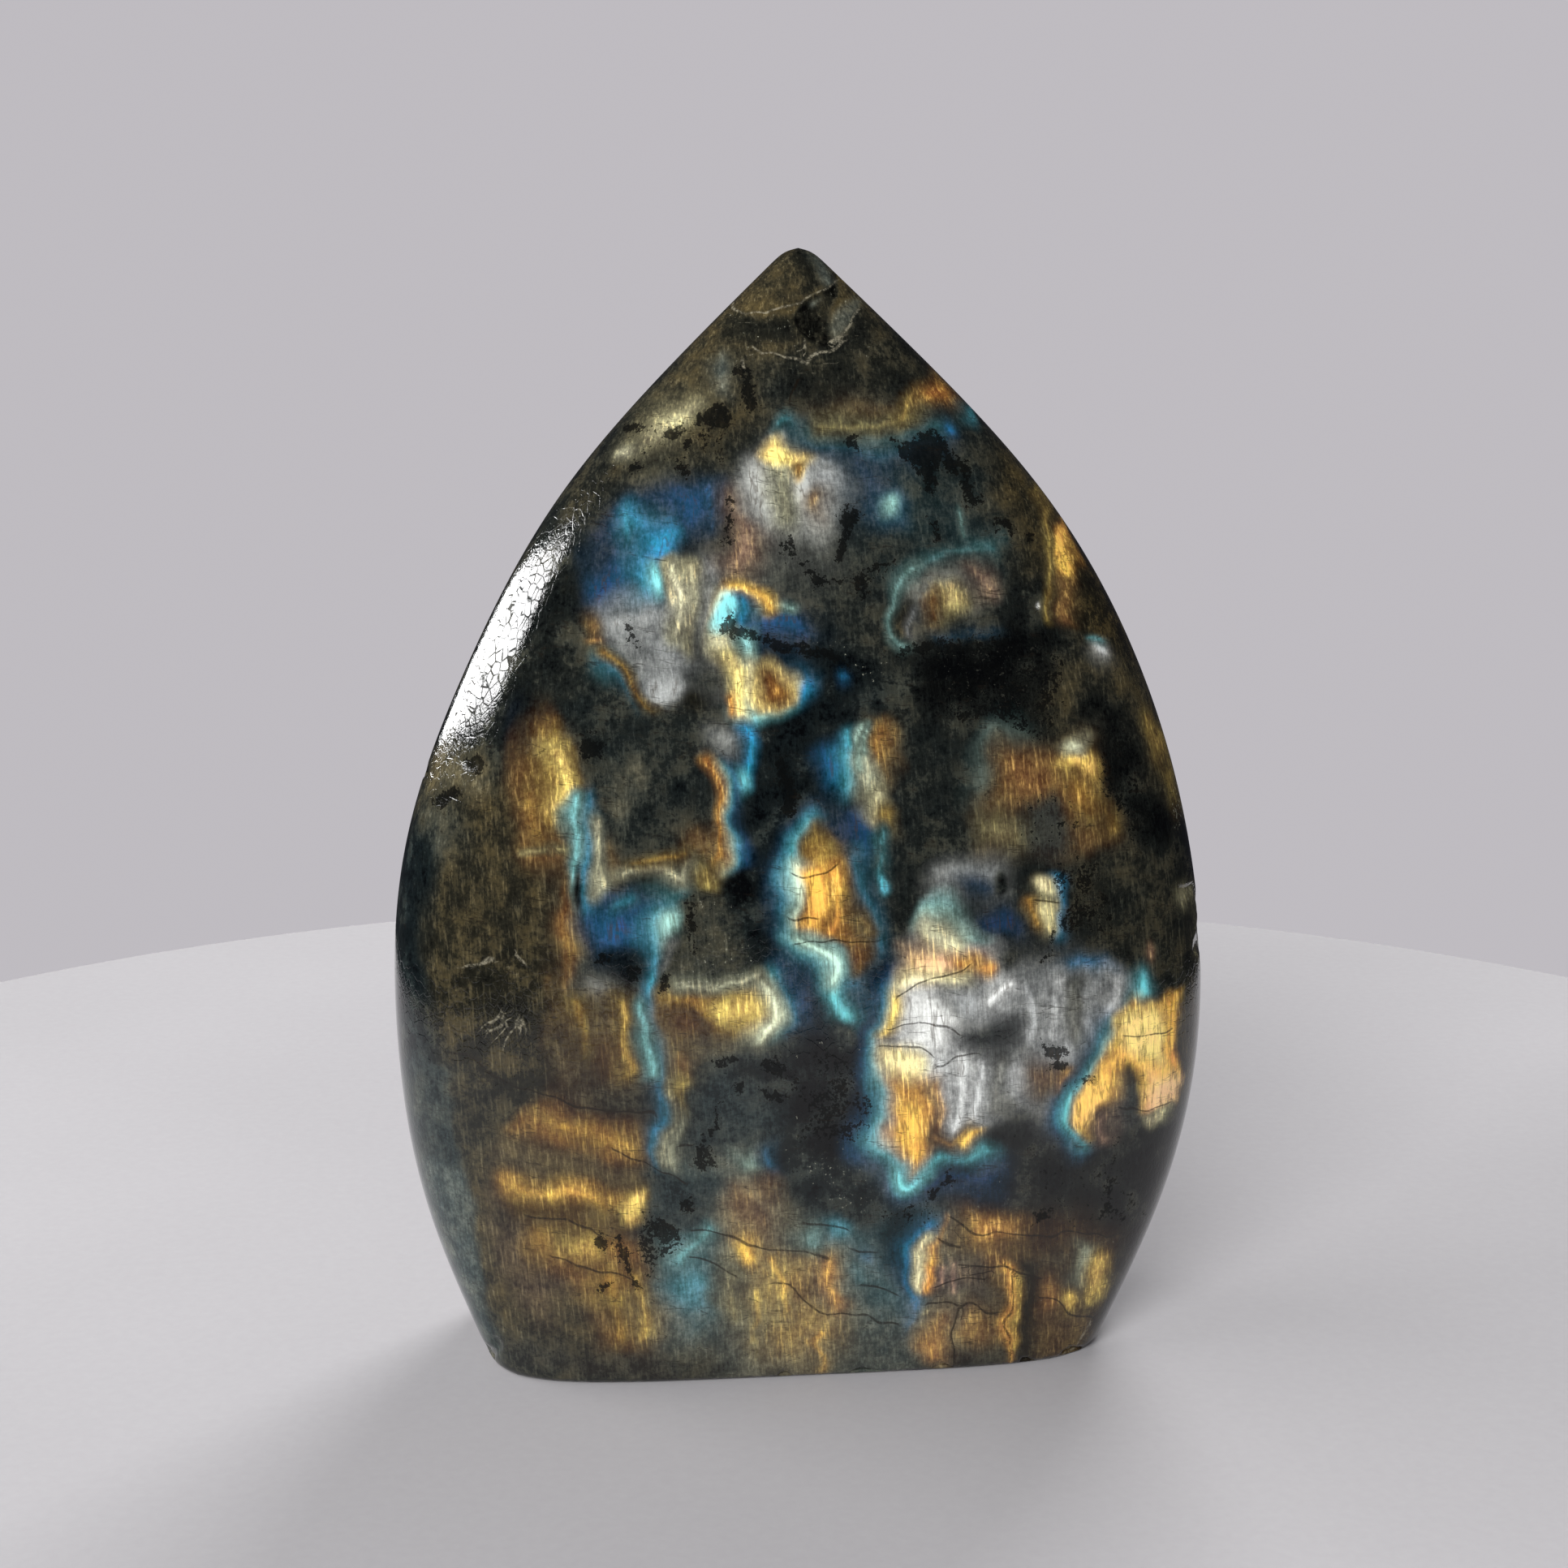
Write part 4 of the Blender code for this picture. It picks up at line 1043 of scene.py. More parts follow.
def close_to(x, y, points, margin):
    """The places within a margin of an outline's own box."""
    across, down = zip(*points)
    return np.flatnonzero(
        (x > min(across) - margin) & (x < max(across) + margin)
        & (y > min(down) - margin) & (y < max(down) + margin)
    )


def lay_patch(canvas, patch):
    """Blends one patch of colour into the canvas: its edge fades, and it grows brighter to its heart."""
    x, y = canvas["x"], canvas["y"]
    soft = patch.soft * SOFTNESS * (LINE_SOFTNESS if patch.width else 1.0)
    near = close_to(x, y, patch.points, patch.width + soft)
    if not len(near):
        return
    depth = depth_inside(x[near], y[near], rounded(patch.points, not patch.width), patch.width)
    cover = smooth_step(depth, -soft / 2, min(soft / 2, patch.width / 2 if patch.width else soft))
    glow = canvas["glow"][near]
    strength = patch.glow
    if patch.hue is not None:
        strength = strength * (1 - HEART + HEART * smooth_step(depth, 0, max(depth.max(), 1)))
        strength = strength * (1 + DRIFT * canvas["drift"][near])
        kept, added = glow * (1 - cover), strength * cover
        share = (added / np.maximum(kept + added, 1e-6))[:, None]
        canvas["colour"][near] += (flash_colour(patch.hue) - canvas["colour"][near]) * share
    canvas["glow"][near] = glow + (strength - glow) * cover
    for name, level in (("tone", patch.tone), ("warm", patch.warm)):
        if level is not None:
            canvas[name][near] += (level - canvas[name][near]) * cover


def lay_ink(x, y, veins, edge):
    """How deep in ink each place is: 0 outside, 1 inside, with a ramp as wide as the edge between."""
    field = np.zeros(len(x))
    for vein in veins:
        near = close_to(x, y, vein.points, vein.width + edge)
        depth = depth_inside(x[near], y[near], vein.points, vein.width)
        field[near] = np.maximum(field[near], vein.fill * smooth_step(depth, -edge, edge * 0.6))
    return field


def lay_lines(x, y, lines):
    """The signed distance to the nearest line, as a share of LINE_REACH, and where one is near at all."""
    nearest = np.full(len(x), LINE_REACH)
    present = np.zeros(len(x))
    for line in lines:
        near = close_to(x, y, line, LINE_REACH)
        best = np.full(len(near), 1e6)
        side = np.zeros(len(near))
        shown = np.zeros(len(near))
        last = len(line) - 2
        for i, ((ax, ay), (bx, by)) in enumerate(zip(line, line[1:])):
            run, fall = bx - ax, by - ay
            length = math.hypot(run, fall)
            along = ((x[near] - ax) * run + (y[near] - ay) * fall) / length
            held = np.clip(along, 0, length)
            away = np.hypot(x[near] - ax - held * run / length, y[near] - ay - held * fall / length)
            past = np.maximum(-along if i == 0 else 0, along - length if i == last else 0)
            closer = away < best
            best = np.where(closer, away, best)
            side = np.where(closer, np.sign((x[near] - ax) * fall - (y[near] - ay) * run), side)
            shown = np.where(closer, 1 - smooth_step(past, 0, 5), shown)
        closer = best < np.abs(nearest[near])
        nearest[near] = np.where(closer, side * best, nearest[near])
        shown = shown * (1 - smooth_step(best, LINE_REACH * 0.6, LINE_REACH))
        present[near] = np.maximum(present[near], shown)
    return nearest / LINE_REACH, present


def read_mesh(mesh):
    """The mesh's points and their outward directions."""
    points = np.zeros(len(mesh.vertices) * 3, np.float32)
    normals = np.zeros(len(mesh.vertices) * 3, np.float32)
    mesh.vertices.foreach_get("co", points)
    mesh.vertices.foreach_get("normal", normals)
    return points.reshape(-1, 3).astype(float), normals.reshape(-1, 3).astype(float)


def picture_canvas(points, normals):
    """A blank canvas over the stone: where each point shows, with the drawing's edges a little uneven.

    The side away from the camera carries the same layers on, shifted further the more it turns away.
    """
    x, y = picture_places(points)
    eye = np.array(view_axes()[0])
    toward = eye - points
    toward /= np.linalg.norm(toward, axis=1, keepdims=True)
    hidden = smooth_step(-(toward * normals).sum(axis=1), *TURNED_AWAY)
    for size, strength, seed in EDGE_WAVES:
        span = size * PIXEL
        x = x + strength * waves(points, span, seed)
        y = y + strength * waves(points, span, seed + 50)
    (wide, sway, across, first), (tall, rise, down, second) = BACK_SHIFTS
    x = x + hidden * (sway * waves(points, wide, first) + across)
    y = y + hidden * (rise * waves(points, tall, second) + down)
    size = len(points)
    return {
        "x": x, "y": y, "hidden": hidden,
        "colour": np.zeros((size, 3)), "glow": np.zeros(size),
        "tone": np.full(size, PLAIN_TONE), "warm": np.full(size, PLAIN_WARMTH),
        "drift": waves(points, DRIFT_SIZE * PIXEL, 3),
    }


def store_colour(mesh, name, *channels):
    """Keeps four fields as one colour attribute on the mesh's points."""
    layer = mesh.attributes.get(name) or mesh.attributes.new(name, "FLOAT_COLOR", "POINT")
    layer.data.foreach_set("color", np.stack(channels, axis=1).astype(np.float32).ravel())


def only_select(item):
    if bpy.context.object and bpy.context.object.mode != "OBJECT":
        bpy.ops.object.mode_set(mode="OBJECT")
    bpy.ops.object.select_all(action="DESELECT")
    item.select_set(True)
    bpy.context.view_layer.objects.active = item


def select_faces(item, chosen):
    """Goes into edit mode with just these faces selected."""
    only_select(item)
    mesh = item.data
    none = np.zeros(max(len(mesh.vertices), len(mesh.edges), len(mesh.polygons)), bool)
    mesh.vertices.foreach_set("select", none[:len(mesh.vertices)])
    mesh.edges.foreach_set("select", none[:len(mesh.edges)])
    mesh.polygons.foreach_set("select", chosen)
    bpy.ops.object.mode_set(mode="EDIT")
    bpy.ops.mesh.select_mode(type="FACE")


def lay_flashes(mesh):
    """Lays every patch on the stone, and keeps the result on its points."""
    points, normals = read_mesh(mesh)
    canvas = picture_canvas(points, normals)
    for patch in FLASH_PATCHES:
        lay_patch(canvas, patch)
    canvas["glow"] *= 1 - BACK_DIMMING * canvas["hidden"]
    store_colour(mesh, "flash", *canvas["colour"].T, canvas["glow"])
    return canvas


class STONE_OT_polish(bpy.types.Operator):
    """Copies the stone's solid, merges it and makes its surface fine and smooth"""

    bl_idname = "flame.polish_stone"
    bl_label = "Polish the stone"

    def execute(self, context):
        only_select(frame["nodes"][CAD_NODE])
        bpy.ops.object.duplicate()
        stone = context.view_layer.objects.active
        bpy.ops.object.parent_clear(type="CLEAR_KEEP_TRANSFORM")
        stone.name = stone.data.name = STONE
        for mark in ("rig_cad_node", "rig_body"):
            if mark in stone:
                del stone[mark]
        stone.data.materials.clear()
        bpy.ops.object.mode_set(mode="EDIT")
        bpy.ops.mesh.select_all(action="SELECT")
        bpy.ops.mesh.customdata_custom_splitnormals_clear()
        bpy.ops.mesh.remove_doubles(threshold=1e-6)
        bpy.ops.mesh.tris_convert_to_quads(face_threshold=math.radians(50), shape_threshold=math.radians(50))
        bpy.ops.mesh.mark_sharp(clear=True)
        bpy.ops.object.mode_set(mode="OBJECT")
        self.crease_foot(stone)
        fine = stone.modifiers.new("fine surface", "SUBSURF")
        fine.levels = fine.render_levels = 2
        bpy.ops.object.modifier_apply(modifier=fine.name)
        canvas = lay_flashes(stone.data)
        self.refine(stone, canvas)
        self.chip(stone)
        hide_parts(CAD_NODE)
        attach(stone, "root")
        return {"FINISHED"}

    def crease_foot(self, stone):
        """Keeps the sawn foot's edge crisp under the smoothing."""
        mesh = stone.data
        low = FOOT.z + 0.0001
        rim = [e for e in mesh.edges if all(mesh.vertices[v].co.z < low for v in e.vertices)]
        crease = mesh.attributes.new("crease_edge", "FLOAT", "EDGE")
        for edge in rim:
            crease.data[edge.index].value = 1.0

    def refine(self, stone, canvas):
        """Divides once more the faces where the colour turns fastest."""
        mesh = stone.data
        corner = np.zeros(len(mesh.loops), np.int32)
        start = np.zeros(len(mesh.polygons), np.int32)
        mesh.loops.foreach_get("vertex_index", corner)
        mesh.polygons.foreach_get("loop_start", start)
        swing = np.zeros(len(start))
        bright = canvas["colour"] * canvas["glow"][:, None]
        for field in (*bright.T, canvas["tone"]):
            value = field[corner]
            swing += np.maximum.reduceat(value, start) - np.minimum.reduceat(value, start)
        swing *= np.maximum.reduceat((canvas["hidden"] < NEAR_SIDE)[corner], start)
        chipped = self.chip_depth(canvas)[corner]
        swing += 9 * (np.maximum.reduceat(chipped, start) - np.minimum.reduceat(chipped, start))
        order = np.argsort(-swing)
        chosen = np.zeros(len(start), bool)
        chosen[order[:FINEST_FACES]] = True
        select_faces(stone, chosen)
        bpy.ops.mesh.subdivide(number_cuts=1, smoothness=0.0)
        bpy.ops.object.mode_set(mode="OBJECT")

    def chip_depth(self, canvas):
        """How deep the chips are at each point, in millimetres."""
        return lay_ink(canvas["x"], canvas["y"], CHIPS, CHIP_EDGE) * (canvas["hidden"] < NEAR_SIDE)

    def chip(self, stone):
        """Sinks the chips and pits into the surface."""
        depth = self.chip_depth(picture_canvas(*read_mesh(stone.data)))
        group = stone.vertex_groups.new(name="chips")
        for point in np.flatnonzero(depth > 0.005).tolist():
            group.add([point], float(depth[point]), "REPLACE")
        sink = stone.modifiers.new("chips", "DISPLACE")
        sink.vertex_group = group.name
        sink.mid_level = 0.0
        sink.strength = -0.001
        only_select(stone)
        bpy.ops.object.modifier_apply(modifier=sink.name)
        stone.vertex_groups.clear()


class STONE_OT_lay_flashes(bpy.types.Operator):
    """Lays the flashes of colour, the inclusions and the cracks on the stone"""

    bl_idname = "flame.lay_flashes"
    bl_label = "Lay the flashes"

    def execute(self, context):
        stone = bpy.data.objects[STONE]
        mesh = stone.data
        canvas = lay_flashes(mesh)
        x, y = canvas["x"], canvas["y"]
        crack, cracked = lay_lines(x, y, CRACKS)
        chalk, chalked = lay_lines(x, y, CHALK_LINES)
        inked = lay_ink(x, y, INCLUSIONS, INK_EDGE)
        sparks = lay_ink(x, y, SPARK_FIELDS, FLECK_EDGE)
        store_colour(mesh, "stone", canvas["tone"], canvas["warm"], inked, sparks)
        store_colour(mesh, "lines", crack, cracked, chalk, chalked)
        return {"FINISHED"}


class NodeBench:
    """Short ways to lay out shader nodes."""

    def __init__(self, tree):
        self.tree = tree

    def put(self, kind, inputs=None, **settings):
        """Adds a node, sets it up, and gives or links its inputs."""
        node = self.tree.nodes.new(kind)
        for name, value in settings.items():
            setattr(node, name, value)
        for name, value in (inputs or {}).items():
            if isinstance(value, bpy.types.NodeSocket):
                self.tree.links.new(value, node.inputs[name])
            else:
                node.inputs[name].default_value = value
        return node

    def parts(self, colour):
        """A colour's three channels."""
        return self.put("ShaderNodeSeparateColor", {"Color": colour}).outputs[:3]

    def maths(self, work, first, second=0.0, third=0.0, clamp=False):
        node = self.put("ShaderNodeMath", {0: first, 1: second, 2: third}, operation=work, use_clamp=clamp)
        return node.outputs[0]

    def between(self, value, low, high, new_low=0.0, new_high=1.0, smooth=True):
        """Maps a value from one range to another, held at the ends."""
        node = self.put(
            "ShaderNodeMapRange",
            {"Value": value, "From Min": low, "From Max": high, "To Min": new_low, "To Max": new_high},
            interpolation_type="SMOOTHSTEP" if smooth else "LINEAR",
        )
        return node.outputs["Result"]

    def mix(self, share, first, second, blend="MIX"):
        node = self.put("ShaderNodeMix", {0: share, 6: first, 7: second}, data_type="RGBA", blend_type=blend)
        return node.outputs[2]

    def noise(self, place, sizes, detail=3.0, rough=0.55, turn=0.0, **more):
        """Noise whose grains have these sizes across, through and up, in metres."""
        scale = [1.0 / s for s in (sizes if isinstance(sizes, tuple) else (sizes,) * 3)]
        turned = self.put(
            "ShaderNodeMapping", {"Vector": place, "Rotation": (0.0, turn, 0.0)}, vector_type="TEXTURE")
        mapped = self.put("ShaderNodeMapping", {"Vector": turned.outputs[0], "Scale": scale})
        inputs = {"Vector": mapped.outputs[0], "Scale": 1.0, "Detail": detail, "Roughness": rough}
        inputs.update(more)
        return self.put("ShaderNodeTexNoise", inputs).outputs["Fac"]

    def ramp(self, value, stops):
        """A colour scale from (place, display colour) stops."""
        node = self.put("ShaderNodeValToRGB", {"Fac": value})
        band = node.color_ramp
        while len(band.elements) < len(stops):
            band.elements.new(0.5)
        for element, (place, colour) in zip(band.elements, stops):
            element.position = place
            element.color = display_colour(colour)
        return node.outputs["Color"]


def stone_material(sizes):
    """Polished spectrolite: fibres and clouds, flashes of colour, ink, cracks and a clear gloss."""
    material = bpy.data.materials.new("polished spectrolite")
    material.use_nodes = True
    tree = material.node_tree
    tree.nodes.clear()
    bench = NodeBench(tree)
    place = bench.put("ShaderNodeTexCoord").outputs["Object"]
    across, _, height = bench.put("ShaderNodeSeparateXYZ", {"Vector": place}).outputs
    flash_layer = bench.put("ShaderNodeAttribute", attribute_name="flash")
    red, _, blue = bench.parts(flash_layer.outputs["Color"])
    glow = flash_layer.outputs["Alpha"]
    stone_layer = bench.put("ShaderNodeAttribute", attribute_name="stone")
    tone, warm, ink_depth = bench.parts(stone_layer.outputs["Color"])
    spark_depth = stone_layer.outputs["Alpha"]
    lines_layer = bench.put("ShaderNodeAttribute", attribute_name="lines")
    crack_way, cracked, chalk_way = bench.parts(lines_layer.outputs["Color"])
    chalked = lines_layer.outputs["Alpha"]

    # Fibres, clouds and grain
    wide, long, lean = sizes.fibre_width, sizes.fibre_length, sizes.fibre_lean
    fibres = bench.noise(place, (wide, wide * 1.6, long), 3.0, 0.6, lean)
    fine_fibres = bench.noise(place, (wide * 0.45, wide * 0.7, long * 0.3), 2.0, 0.5, lean)
    clouds = bench.noise(place, sizes.cloud_size, 6.0, 0.64)
    mottle = bench.noise(place, sizes.cloud_size * 0.5, 6.0, 0.74)
    grit = bench.noise(place, 0.00045, 3.0, 0.7)
    thread = bench.maths("SUBTRACT", bench.maths("MULTIPLY_ADD", fine_fibres, 0.6, fibres), 0.80)
    strand = bench.between(fibres, 0.53, 0.68)
    cloud = bench.maths("SUBTRACT", clouds, 0.5)
    blot = bench.maths("SUBTRACT", mottle, 0.5)
    grain = bench.maths("SUBTRACT", grit, 0.5)

    # The flash's strength swings with the fibres and clouds; single strands shine out where it is golden
    golden = bench.between(bench.maths("SUBTRACT", red, blue), 0.05, 0.45)
    swing = bench.maths("MULTIPLY", thread, bench.between(golden, 0.0, 1.0, 0.30, 0.32, smooth=False))
    swing = bench.maths("MULTIPLY_ADD", cloud, 0.55, swing)
    swing = bench.maths("MULTIPLY_ADD", blot, 0.30, swing)
    swing = bench.maths("MULTIPLY_ADD", grain, 0.20, swing)
    fading = bench.between(glow, 0.6, 1.1, 1.0, 0.35)
    fading = bench.maths("MULTIPLY", bench.between(glow, 0.0, 0.8), fading)
    shining = bench.maths("MULTIPLY", bench.maths("MULTIPLY", strand, golden), fading)
    share = bench.maths("MULTIPLY_ADD", swing, fading, glow)
    share = bench.maths("MULTIPLY_ADD", shining, 0.27, share, clamp=True)
    share = bench.maths("POWER", share, 2.3)
    wander = bench.maths("MULTIPLY_ADD", cloud, 0.08, bench.maths("MULTIPLY_ADD", thread, 0.05, 0.5))
    flash = bench.put("ShaderNodeHueSaturation", {
        "Color": flash_layer.outputs["Color"], "Hue": wander, "Saturation": 1.0, "Value": 1.0}).outputs[0]
    flash = bench.mix(bench.maths("MULTIPLY", shining, 0.46), flash, display_colour(STRAND_GOLD))

    # The plain stone: soft clouds, fibres and grain, and black webs where it is darkest
    depth = bench.maths("MULTIPLY_ADD", cloud, 0.72, tone)
    depth = bench.maths("MULTIPLY_ADD", blot, bench.between(warm, 0.45, 0.80, 0.36, 0.16), depth)
    depth = bench.maths("MULTIPLY_ADD", grain, 0.24, depth)
    depth = bench.maths("MULTIPLY_ADD", thread, bench.between(tone, 0.0, 0.5, 0.10, 0.24), depth)
    depth = bench.maths("MULTIPLY_ADD", strand, bench.maths("MULTIPLY", warm, 0.20), depth)
    black = bench.maths("SUBTRACT", mottle, bench.maths("MULTIPLY", tone, 0.45))
    cold = bench.between(warm, 0.45, 0.80, 1.0, 0.25)
    web = bench.maths("MULTIPLY", bench.between(black, 0.45, 0.50), cold)
    depth = bench.maths("MULTIPLY_ADD", web, -0.12, depth)
    island = bench.between(clouds, 0.50, 0.60)
    depth = bench.maths("MULTIPLY_ADD", island, bench.between(tone, 0.10, 0.32, 0.20, 0.0), depth)
    warmth = bench.maths("MULTIPLY_ADD", clouds, 1.0, bench.maths("SUBTRACT", warm, 0.50))
    warmth = bench.between(warmth, 0.0, 1.0, smooth=False)
    stone_colour = bench.mix(warmth, bench.ramp(depth, COLD_STONE), bench.ramp(depth, WARM_STONE))
    colour = bench.mix(share, stone_colour, flash)
    light = bench.maths("MULTIPLY_ADD", grain, 0.30, bench.maths("MULTIPLY_ADD", thread, 0.40, 1.0))
    light = bench.put("ShaderNodeCombineColor", {"Red": light, "Green": light, "Blue": light}).outputs[0]
    colour = bench.mix(1.0, colour, light, blend="MULTIPLY")

    # Pale flecks, black inclusions, dark cracks and chalky lines
    sparks = bench.maths("MULTIPLY_ADD", grain, 1.7, spark_depth)
    sparks = bench.maths("MULTIPLY", bench.between(sparks, 0.62, 0.72), bench.between(spark_depth, 0.02, 0.2))
    colour = bench.mix(bench.maths("MULTIPLY", sparks, 0.55), colour, display_colour(FLECK))
    inked = bench.maths("MULTIPLY_ADD", grain, 1.2, bench.maths("MULTIPLY_ADD", blot, 2.2, ink_depth))
    inked = bench.maths("MULTIPLY", bench.between(inked, 0.50, 0.60), bench.between(ink_depth, 0.02, 0.15))
    colour = bench.mix(bench.maths("MULTIPLY", inked, 0.90), colour, display_colour(INK))
    wobble = bench.maths("MULTIPLY_ADD", grain, 0.08, bench.maths("MULTIPLY", blot, 0.10))
    reach = LINE_REACH * PIXEL
    crack_off = bench.maths("ABSOLUTE", bench.maths("ADD", crack_way, wobble))
    thin = sizes.crack_width / reach
    crack = bench.maths("MULTIPLY", bench.between(crack_off, thin * 0.3, thin, 1.0, 0.0), cracked)
    crack = bench.maths("MULTIPLY", crack, bench.between(grit, 0.36, 0.50, 0.45, 1.0))
    colour = bench.mix(bench.maths("MULTIPLY", crack, 0.78), colour, display_colour(CRACK))
    chalk_off = bench.maths("ABSOLUTE", bench.maths("ADD", chalk_way, wobble))
    chalk = bench.between(chalk_off, thin * 0.3, thin * 1.3, 1.0, 0.0)
    chalk = bench.maths("MULTIPLY", chalk, chalked)
    chalk = bench.maths("MULTIPLY", chalk, bench.between(grit, 0.44, 0.60, 0.15, 1.0))
    colour = bench.mix(bench.maths("MULTIPLY", chalk, 0.62), colour, display_colour(CHALK))

    # Hairline fissures that run up through the brightest flashes, and seams that run level
    upright = bench.noise(place, (0.0013, 0.0013, 0.010), 3.0, 0.6, lean)
    fissure = bench.maths("ABSOLUTE", bench.maths("SUBTRACT", upright, 0.5))
    fissure = bench.between(fissure, 0.0, 0.050, 1.0, 0.0)
    fissure = bench.maths("MULTIPLY", fissure, bench.between(glow, 0.62, 0.85))
    fissure = bench.maths("MULTIPLY", fissure, bench.between(mottle, 0.40, 0.52))
    colour = bench.mix(bench.maths("MULTIPLY", fissure, 0.60), colour, display_colour(FISSURE))
    level = bench.noise(place, (0.011, 0.008, 0.0016), 3.0, 0.55, math.radians(6))
    seam = bench.maths("ABSOLUTE", bench.maths("SUBTRACT", level, 0.5))
    seam = bench.between(seam, 0.0, 0.011, 1.0, 0.0)
    seam = bench.maths("MULTIPLY", seam, bench.between(clouds, 0.46, 0.56))
    colour = bench.mix(bench.maths("MULTIPLY", seam, 0.62), colour, display_colour(SEAM))

    # The polished skin: fine crazing and pits, seen in the gloss
    cell = bench.put("ShaderNodeMapping", {"Vector": place, "Scale": (1100.0, 1100.0, 800.0)})
    crazing = bench.put(
        "ShaderNodeTexVoronoi", {"Vector": cell.outputs[0], "Scale": 1.0, "Randomness": 1.0},
        feature="DISTANCE_TO_EDGE").outputs["Distance"]
    groove = bench.between(crazing, 0.0, 0.09)
    relief = bench.maths("MULTIPLY_ADD", fibres, 0.8, bench.maths("MULTIPLY", groove, 0.6))
    relief = bench.maths("MULTIPLY_ADD", grit, 1.6, relief)
    bump = bench.put("ShaderNodeBump", {"Height": relief, "Strength": 0.3, "Distance": 0.00004})
    crazed = bench.between(crazing, 0.03, 0.13, 1.0, 0.0)
    crazed = bench.maths("MULTIPLY", crazed, bench.between(mottle, 0.42, 0.54, 0.25, 0.95))
    crazed = bench.maths("MULTIPLY", crazed, bench.between(across, *CRAZED_ACROSS, 1.0, 0.0))
    crazed = bench.maths("MULTIPLY", crazed, bench.between(height, *CRAZED_UP))
    dull = bench.maths("MAXIMUM", crazed, bench.maths("MULTIPLY", inked, 0.5))
    gloss = bench.maths("SUBTRACT", 1.0, dull)
    skin = bench.put("ShaderNodeBsdfPrincipled", {
        "Base Color": colour,
        "Roughness": bench.between(thread, -0.2, 0.2, 0.62, 0.48),
        "Specular IOR Level": 0.0,
        "Coat Weight": gloss,
        "Coat Roughness": sizes.polish,
        "Coat IOR": sizes.stone_ior,
        "Normal": bump.outputs[0],
        "Coat Normal": bump.outputs[0],
    })
    bench.put("ShaderNodeOutputMaterial", {"Surface": skin.outputs[0]})
    return material


class STONE_OT_finish(bpy.types.Operator):
    """Gives the stone its polished finish"""

    bl_idname = "flame.finish_stone"
    bl_label = "Finish the stone"

    def execute(self, context):
        stone = bpy.data.objects[STONE]
        stone.data.materials.append(stone_material(context.scene.flame_stone))
        only_select(stone)
        bpy.ops.object.shade_smooth_by_angle(angle=math.radians(32))
        return {"FINISHED"}


def floor_material(colour):
    """A plain, matt, pale tabletop with a faint grain."""
    material = bpy.data.materials.new("pale tabletop")
    material.use_nodes = True
    material.node_tree.nodes.clear()
    bench = NodeBench(material.node_tree)
    place = bench.put("ShaderNodeTexCoord").outputs["Object"]
    grain = bench.noise(place, 0.0012, 4.0, 0.6)
    drift = bench.noise(place, 0.12, 2.0)
    level = bench.maths("MULTIPLY_ADD", grain, 0.5, drift)
    level = bench.between(level, 0.5, 1.0, 0.94, 1.04, smooth=False)
    shade = bench.put("ShaderNodeCombineColor", {"Red": level, "Green": level, "Blue": level}).outputs[0]
    tint = bench.mix(1.0, (*colour, 1.0), shade, blend="MULTIPLY")
    bump = bench.put("ShaderNodeBump", {"Height": grain, "Strength": 0.12, "Distance": 0.0001})
    skin = bench.put("ShaderNodeBsdfPrincipled", {
        "Base Color": tint, "Roughness": 0.60, "Specular IOR Level": 0.0, "Normal": bump.outputs[0]})
    bench.put("ShaderNodeOutputMaterial", {"Surface": skin.outputs[0]})
    return material


def add_softbox(name, place, aim, width, height, power, glossy=True, diffuse=True):
    """A rectangular soft light that faces a point."""
    bpy.ops.object.light_add(type="AREA", location=place)
    lamp = bpy.context.object
    lamp.name = lamp.data.name = name
    lamp.data.shape = "RECTANGLE"
    lamp.data.size, lamp.data.size_y = width, height
    lamp.data.energy = power
    lamp.rotation_euler = (Vector(aim) - Vector(place)).to_track_quat("-Z", "Y").to_euler()
    lamp.visible_glossy = glossy
    lamp.visible_diffuse = diffuse
    lamp.visible_camera = False
    return lamp


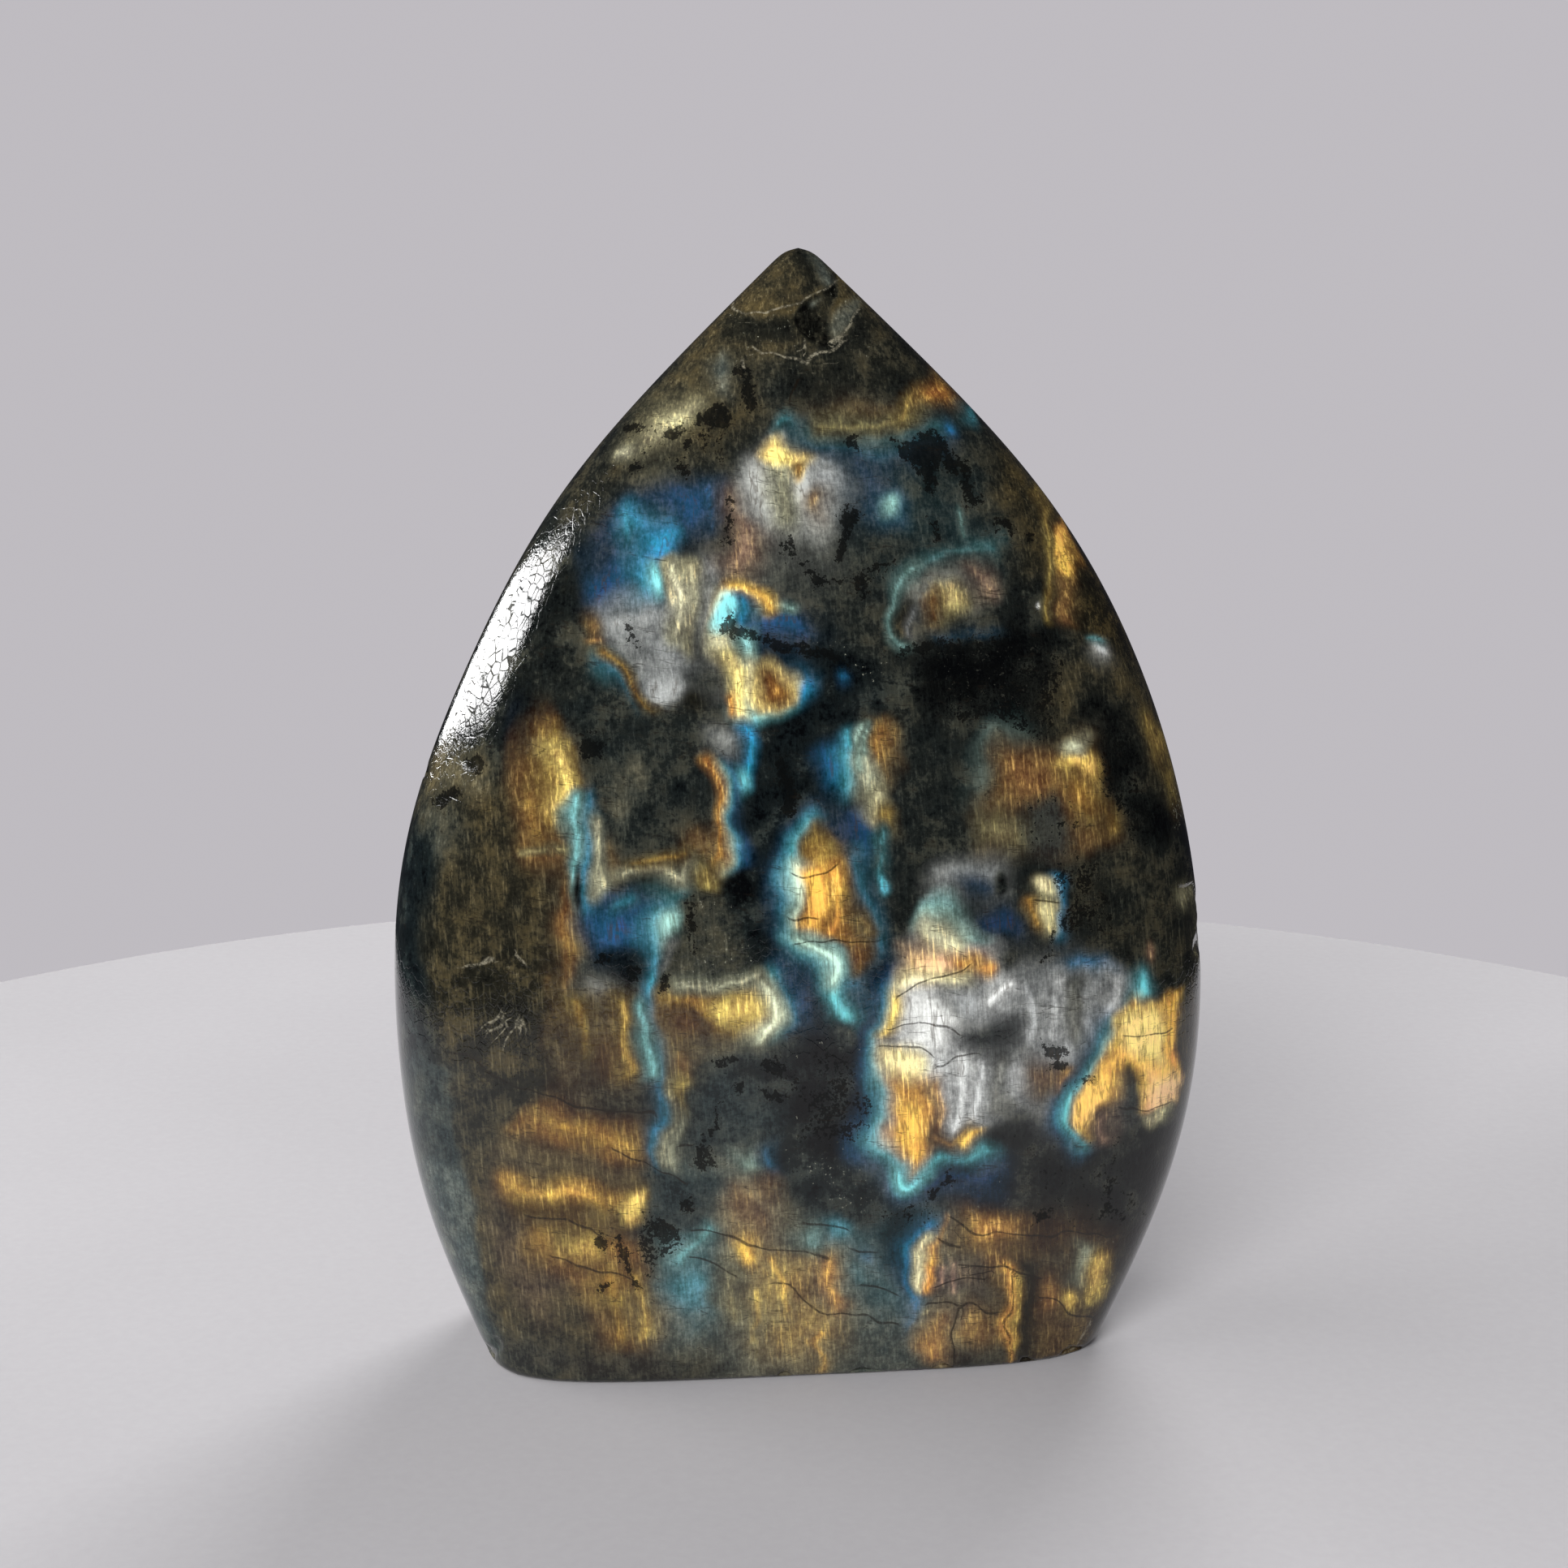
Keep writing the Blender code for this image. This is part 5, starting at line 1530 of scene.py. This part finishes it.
class STAGE_OT_build(bpy.types.Operator):
    """Sets up the floor, the backdrop, the lights and the camera"""

    bl_idname = "flame.build_stage"
    bl_label = "Build the stage"

    def execute(self, context):
        settings = context.scene.flame_stage
        only_select(bpy.data.objects[STONE])
        bpy.ops.object.select_all(action="DESELECT")
        bpy.ops.mesh.primitive_circle_add(
            vertices=96, radius=settings.floor_radius, fill_type="NGON", location=(0, 0, FOOT.z - 0.0002))
        floor = context.object
        floor.name = floor.data.name = "floor"
        bpy.ops.object.transform_apply(location=True)
        floor.data.materials.append(floor_material(settings.floor_colour))
        middle = (0, 0, TOP.z / 2)
        add_softbox(
            "window light", WINDOW_PLACE, WINDOW_AIM, WINDOW_WIDTH, WINDOW_HEIGHT, settings.window_power,
            glossy=False)
        along, up = (WINDOW_START + WINDOW_END) / 2, (WINDOW_SILL + WINDOW_HEAD) / 2
        shine = add_softbox(
            "window's shine", (-WALL_AWAY, along, up), (0, along, up),
            WINDOW_END - WINDOW_START, WINDOW_HEAD - WINDOW_SILL, WINDOW_SHINE, diffuse=False)
        shine.rotation_euler.rotate_axis("Z", math.radians(WINDOW_DIP))
        for name, turn in (("front fill", 1), ("back fill", -1)):
            place = (turn * FILL_PLACE[0], turn * FILL_PLACE[1], FILL_PLACE[2])
            add_softbox(name, place, middle, FILL_SIZE, FILL_SIZE, settings.fill_power, glossy=False)
        self.light_world(context.scene, settings.backdrop_colour)
        self.place_camera(context.scene)
        context.scene.view_settings.view_transform = "Standard"
        return {"FINISHED"}

    def light_world(self, scene, colour):
        """A pale backdrop for the camera, and a dim room for the light."""
        world = bpy.data.worlds.new("plain studio")
        world.use_nodes = True
        world.node_tree.nodes.clear()
        scene.world = world
        bench = NodeBench(world.node_tree)
        rays = bench.put("ShaderNodeLightPath")
        seen = bench.put("ShaderNodeBackground", {"Color": (*colour, 1.0), "Strength": 1.0})
        dim = bench.put("ShaderNodeBackground", {"Color": ROOM_COLOUR, "Strength": ROOM_STRENGTH})
        dark = bench.put("ShaderNodeBackground", {"Color": MIRRORED_ROOM, "Strength": 1.0})
        room = bench.put(
            "ShaderNodeMixShader", {0: rays.outputs["Is Glossy Ray"], 1: dim.outputs[0], 2: dark.outputs[0]})
        sky = bench.put(
            "ShaderNodeMixShader", {0: rays.outputs["Is Camera Ray"], 1: room.outputs[0], 2: seen.outputs[0]})
        bench.put("ShaderNodeOutputWorld", {"Surface": sky.outputs[0]})

    def place_camera(self, scene):
        eye, _, _, forward = view_axes()
        bpy.ops.object.camera_add(location=eye, rotation=forward.to_track_quat("-Z", "Y").to_euler())
        camera = bpy.context.object
        camera.name = camera.data.name = "photograph view"
        camera.data.lens = VIEW_LENS
        camera.data.sensor_width = VIEW_SENSOR
        camera.data.clip_start = 0.01
        scene.camera = camera


class VIEW3D_PT_flame(bpy.types.Panel):
    """Lists the steps in the sidebar."""

    bl_label = "Spectrolite flame"
    bl_idname = "VIEW3D_PT_flame"
    bl_space_type = "VIEW_3D"
    bl_region_type = "UI"
    bl_category = "Flame"

    def draw(self, context):
        for settings in (context.scene.flame_stone, context.scene.flame_stage):
            box = self.layout.box()
            for name in settings.__annotations__:
                box.prop(settings, name)
        for step in STEPS:
            self.layout.operator(step.bl_idname)


STEPS = (STONE_OT_polish, STONE_OT_lay_flashes, STONE_OT_finish, STAGE_OT_build)
CLASSES = (StoneSettings, StageSettings, *STEPS, VIEW3D_PT_flame)


def register():
    for each in CLASSES:
        bpy.utils.register_class(each)
    bpy.types.Scene.flame_stone = bpy.props.PointerProperty(type=StoneSettings)
    bpy.types.Scene.flame_stage = bpy.props.PointerProperty(type=StageSettings)


def unregister():
    del bpy.types.Scene.flame_stage
    del bpy.types.Scene.flame_stone
    for each in reversed(CLASSES):
        bpy.utils.unregister_class(each)


def main():
    register()
    bpy.ops.flame.polish_stone()
    bpy.ops.flame.lay_flashes()
    bpy.ops.flame.finish_stone()
    bpy.ops.flame.build_stage()


if __name__ == "__main__":
    main()
